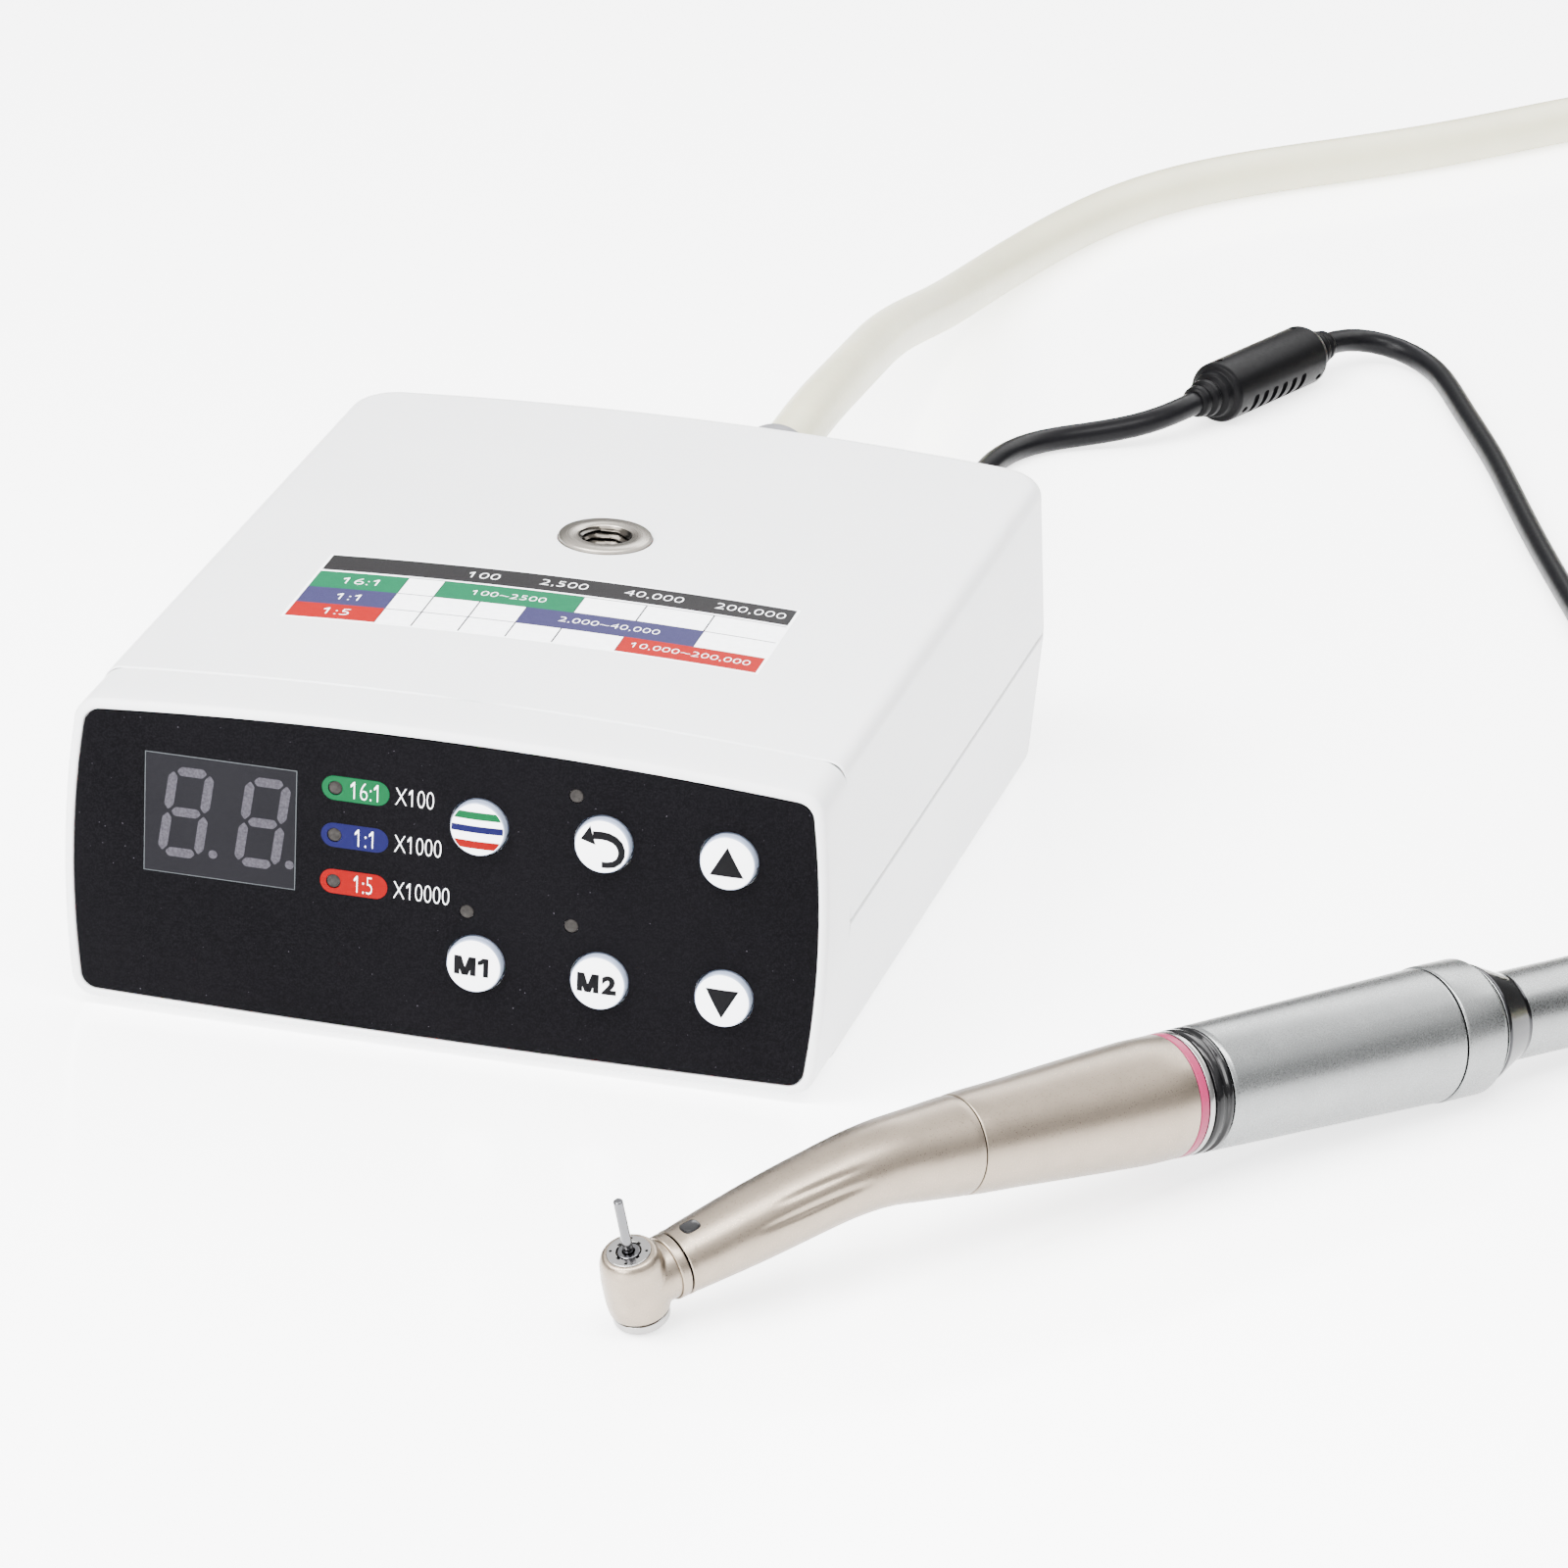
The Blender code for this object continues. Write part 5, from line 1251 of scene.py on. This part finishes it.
def adapter():
    """The power supply: vented case with a seam, stepped strain relief, inlet with pins, and a lamp."""
    low, high = Vector((177, 182, 0)), Vector((229, 298, 32))
    x, z = (low.x + high.x) / 2, (low.z + high.z) / 2
    brick = block("supply_case", low, high, DESK, 3.2, 5)
    recess = block("recess", (x - 12, high.y - 15, z - 8.2), (x + 12, high.y + 2, z + 8.2), DESK, 1.2)
    band = block("band", (low.x - 2, low.y - 2, z - 0.25), (high.x + 2, high.y + 2, z + 0.25), DESK, 0)
    core = block("core", (low.x + 0.4, low.y + 0.4, z - 1), (high.x - 0.4, high.y - 0.4, z + 1), DESK, 2.8, 5)
    cut(band, core)
    cut(brick, recess, band)
    for k in range(9):
        y = low.y + 38 + 5 * k
        cut(brick, block("vent", (x - 15, y, high.z - 0.5), (x + 15, y + 1.6, high.z + 1), DESK, 0))
    fit(brick, *MOULDED, "power_adapter")
    relief = lathe("supply_relief", [
        (0, 18), (2.9, 18), (3.0, 15.6), (2.6, 15.2), (2.65, 14.4), (3.2, 14.0), (3.3, 11.8), (2.9, 11.4),
        (2.95, 10.6), (3.6, 10.2), (3.7, 8.0), (3.2, 7.6), (3.3, 6.8), (4.0, 6.4), (4.2, 0), (0, 0),
    ], facing_front(x, z, low.y), 64)
    fit(relief, *MOULDED)
    pins = merged("supply_pins", [
        block("pin", (x + dx - 1, high.y - 15, z + dz - 2), (x + dx + 1, high.y - 3, z + dz + 2), DESK, 0.3)
        for dx, dz in ((-7, -2), (7, -2), (0, 3))
    ])
    fit(pins, "control_box", "black_plastic", CHROME)
    lamp = rod(1.3, 31.4, 32.05, DESK @ move(x, low.y + 14, 0), 32)
    lamp.name = "supply_lamp"
    fit(lamp, "control_box", "black_plastic", PIPE)
    return brick, relief, pins, lamp


# ---------------------------------------------------------------- handpiece
def handpiece():
    fit(lathe("motor_barrel", [
        (9.7, 48.1), (10.8, 48.1), (10.8, 47.4), (9.95, 1.4), (9.6, 0.8), (9.3, 0.8), (9.3, 2), (9.7, 2),
    ], MOTOR, 160, True, 0.2), *MOTOR_METAL, "motor_sleeve")
    fit(lathe("motor_rear_ring", [
        (4, 57.5), (9.9, 57.5), (11, 56.2), (11, 48.7), (10.85, 48.4), (9.35, 48.4), (9.35, 41), (5, 41),
        (5, 45.6), (3, 45.6), (3, 52), (4, 52),
    ], MOTOR, 160, True, 0.12), *MOTOR_METAL, "motor_end_ring")
    connector = lathe("connector_tube", [
        (0, 95), (7.05, 95), (7.2, 94.6), (7.2, 65.2), (7.35, 64.4), (9.9, 58.5), (9.9, 57.8), (3.7, 57.8),
        (3.7, 52.3), (0, 52.3),
    ], MOTOR, 128, soft=0.25)
    fit(connector, *MOTOR_METAL, "hose_connector")
    # The cone between the end ring and the tube is painted near black, a painted dark reflection.
    second_finish(connector, STEEL_PAINTED_DARK_REFLECTION, MOTOR, lambda p: 57.9 < p.z < 65.1)
    fit(lathe("connector_boot", [
        (4.75, 104), (5.4, 104), (5.6, 103), (6.3, 100), (6.0, 99.7), (6.05, 99.1), (6.6, 98.7), (6.8, 97.2),
        (7.0, 95.2), (4.75, 95.2),
    ], MOTOR, 96, True), "motor", "black_rubber", RUBBER)
    fit(lathe("seal_ring_fine", [
        (6.4, 0.5), (9.0, 0.5), (9.9, 0.3), (9.95, -0.4), (9.45, -0.7), (9.45, -1.3), (9.9, -1.6),
        (9.9, -2.5), (9.6, -2.9), (6.4, -2.9),
    ], MOTOR, 128, True, 0.12), "motor", "seal_black", GLOSS_BLACK, "seal_ring")
    fit(lathe("tail_body", [
        (6.3, -6.3), (9.8, -6.3), (9.8, -12), (9.45, -19), (8.95, -28), (8.4, -37), (8.1, -44.0),
        (7.86, -46.9), (7.75, -47.05), (6.3, -47.05),
    ], MOTOR, 160, True, 0.1), *NECK_METAL, "tail_sleeve")
    fit(lathe("tail_band", [
        (6.3, -3.2), (9.6, -3.2), (9.85, -3.5), (9.85, -4.4), (9.2, -4.5), (9.2, -6.2), (6.3, -6.2),
    ], MOTOR, 128, True, 0.1), "contra_angle", "satin_nickel", NICKEL)
    fit(lathe("colour_band", [
        (9.25, -4.6), (9.72, -4.6), (9.82, -4.75), (9.82, -6.0), (9.72, -6.15), (9.25, -6.15),
    ], MOTOR, 128, True, 0.05), "contra_angle", "pink_ring", PINK, "colour_ring")


NECK_STATIONS = [
    (-47.3, 0, 7.83), (-51, 0, 7.55), (-56, 0, 7.15), (-60.5, 0, 6.8), (-65.8, -0.55, 6.5),
    (-71, -1.6, 6.3), (-78, -3.45, 6.2), (-86, -5.75, 5.95), (-92, -7.46, 5.6), (-98.2, -9.23, 5.2),
]


FLUTES = ((62, -88, -67, 0.34, 5.2), (38, -84, -67, 0.2, 4.2))  # degrees, start, end, depth, degrees wide
FLUTE_DRIFT = 10  # degrees that a flute turns along its length


def flute_depth(z, angle):
    """How deep the flutes are, in mm, at a height and an angle of the neck."""
    deep = 0.0
    for sign in (1, -1):
        for middle, start, end, most, wide in FLUTES:
            share = (z - start) / (end - start)
            if 0 < share < 1:
                centre = math.radians((middle + FLUTE_DRIFT * share) * sign)
                gap = math.degrees(math.atan2(math.sin(angle - centre), math.cos(angle - centre)))
                deep += most * math.sin(math.pi * share) * math.exp(-(gap / wide) ** 2)
    return deep


def pane(scale):
    return [(x * scale, y * scale) for x, y in superellipse(1.45, 1.15, 3.4)]


def neck():
    """The bent tube: rings square to its spine, and the last ones square to the head's collar."""
    spine = natural_spline([(up, 0, z) for z, up, _ in NECK_STATIONS], 0.5)
    heights, sizes = [-z for z, *_ in NECK_STATIONS], [r for *_, r in NECK_STATIONS]
    radii = np.interp([-p[2] for p in spine], heights, sizes)
    for _ in range(30):
        radii[1:-1] = 0.25 * radii[:-2] + 0.5 * radii[1:-1] + 0.25 * radii[2:]
    points = [Vector(p) for p in spine]
    aside, count, rings = Vector((0, 1, 0)), 128, []
    for i, (point, way) in enumerate(zip(points, ways_along(points))):
        if (COLLAR.inverted() @ (MOTOR @ (point * MM))).z <= 8.6 * MM:
            continue
        up = aside.cross(way).normalized()
        if up.x < 0:
            up = -up
        trim = 0.12 * (1 - min(i, len(points) - 1 - i, 2) / 2)
        ring = []
        for a in angles(count):
            radius = radii[i] - trim - flute_depth(point.z, a)
            ring.append(MOTOR @ ((point + up * radius * math.cos(a) + aside * radius * math.sin(a)) * MM))
        rings.append(ring)
    for z, radius in ((7.75, 5.21), (7.34, 5.18), (7.22, 5.06)):
        rings.append([spot(COLLAR, radius * math.cos(a), radius * math.sin(a), z) for a in angles(count)])
    made = mesh_object("neck_tube", [v for ring in rings for v in ring], skin(len(rings), count))
    walled(made, 0.8)
    cut(made, prism("opening", pane(1.06), -1.5, 3, WINDOW))
    fit(made, *NECK_METAL, "neck_shell")
    fit(prism("window_rim", pane(1.05), -1.4, 0.12, WINDOW, 0.06), "contra_angle", "light_glass", GLOSS_BLACK)
    fit(prism("window_glass", pane(0.9), -1.3, 0.26, WINDOW, 0.12), "contra_angle", "light_glass", GLASS,
        "light_window")


def head():
    """The head: its body melted into the collar, face, chuck, bur and push cap."""
    barrel = lathe("head_body", [
        (0, 6.55), (3.55, 6.55), (3.95, 6.45), (4.4, 5.9), (4.7, 4.9), (4.93, 2.6), (4.97, 0), (4.93, -2.2),
        (4.75, -4.0), (4.6, -4.6), (0, -4.6),
    ], HEAD, 128, soft=0.4)
    inner = lathe("inner_collar", [
        (0, 6.2), (4.72, 6.2), (4.72, 2.2), (4.9, 0.8), (4.9, 0), (0, 0),
    ], COLLAR, 128, soft=0.3)
    room = rod(4.9, -9, -4.62, HEAD, 96)
    cut(barrel, inner, operation="UNION")
    cut(barrel, room)
    remesh = barrel.modifiers.new("even", "REMESH")
    remesh.mode = "VOXEL"
    remesh.voxel_size = 0.16 * MM
    smooth = barrel.modifiers.new("blend", "SMOOTH")
    smooth.factor = 0.5
    smooth.iterations = 9
    applied(barrel, 80)
    cut(barrel, rod(3.4, 5.0, 9, HEAD, 96))
    shade(barrel.data, 50)
    fit(barrel, *NECK_METAL, "head_housing")
    fit(lathe("head_collar", [
        (4.2, 7.0), (4.95, 7.0), (5.12, 6.8), (5.1, 5.5), (4.95, 5.3), (4.2, 5.3),
    ], COLLAR, 128, True, 0.1), *NECK_METAL)
    disc = lathe("head_disc", [
        (1.95, 6.72), (3.3, 6.72), (3.36, 6.6), (3.36, 5.4), (1.95, 5.4),
    ], HEAD, 96, True, 0.06)
    holes = [rod(0.24, 6.0, 8, HEAD @ turn(45 + 90 * k, "Z") @ move(2.75, 0, 0), 20) for k in range(4)]
    notches = [
        block("notch", (1.6, -0.32, 6.2), (2.3, 0.32, 8), HEAD @ turn(90 * k + 5, "Z"), 0) for k in range(4)
    ]
    cut(disc, *holes, *notches)
    fit(disc, "contra_angle", "nickel", NICKEL, "head_face")
    fit(lathe("chuck_collar", [
        (1.0, 6.75), (1.62, 6.75), (1.75, 6.6), (1.75, 5.45), (1.0, 5.45),
    ], HEAD, 64, True, 0.06), "spindle", "steel", CHROME)
    fit(lathe("bur_shank", [
        (0, 16.9), (0.55, 16.9), (0.74, 16.7), (0.75, 10), (0.79, 9.8), (0.8, -1), (0, -1),
    ], HEAD, 48, soft=0.08), "spindle", "steel", CHROME, "bur")
    fit(lathe("cap_button", [
        (0, -5.9), (3.3, -5.9), (3.3, -4.3), (3.8, -4.3), (3.8, -4.95), (4.35, -4.95), (4.4, -5.2),
        (4.4, -6.2), (3.9, -6.85), (2.2, -6.9), (1.9, -6.7), (0, -6.7),
    ], HEAD, 128, soft=0.15), "chuck_button", "nickel", NICKEL, "push_cap")


# ---------------------------------------------------------------- assembly
camera()
studio()
floor = mesh_object("floor", [(-8, -8, 0), (8, -8, 0), (8, 8, 0), (-8, 8, 0)], [(0, 1, 2, 3)])
floor.data.materials.append(floor_finish())
hose()
control_box()
front()
display()
panel_print()
pilot_lights()
keys()
label()
insert()
rear_fittings()
inner_finishes()
lead()
handpiece()
neck()
head()
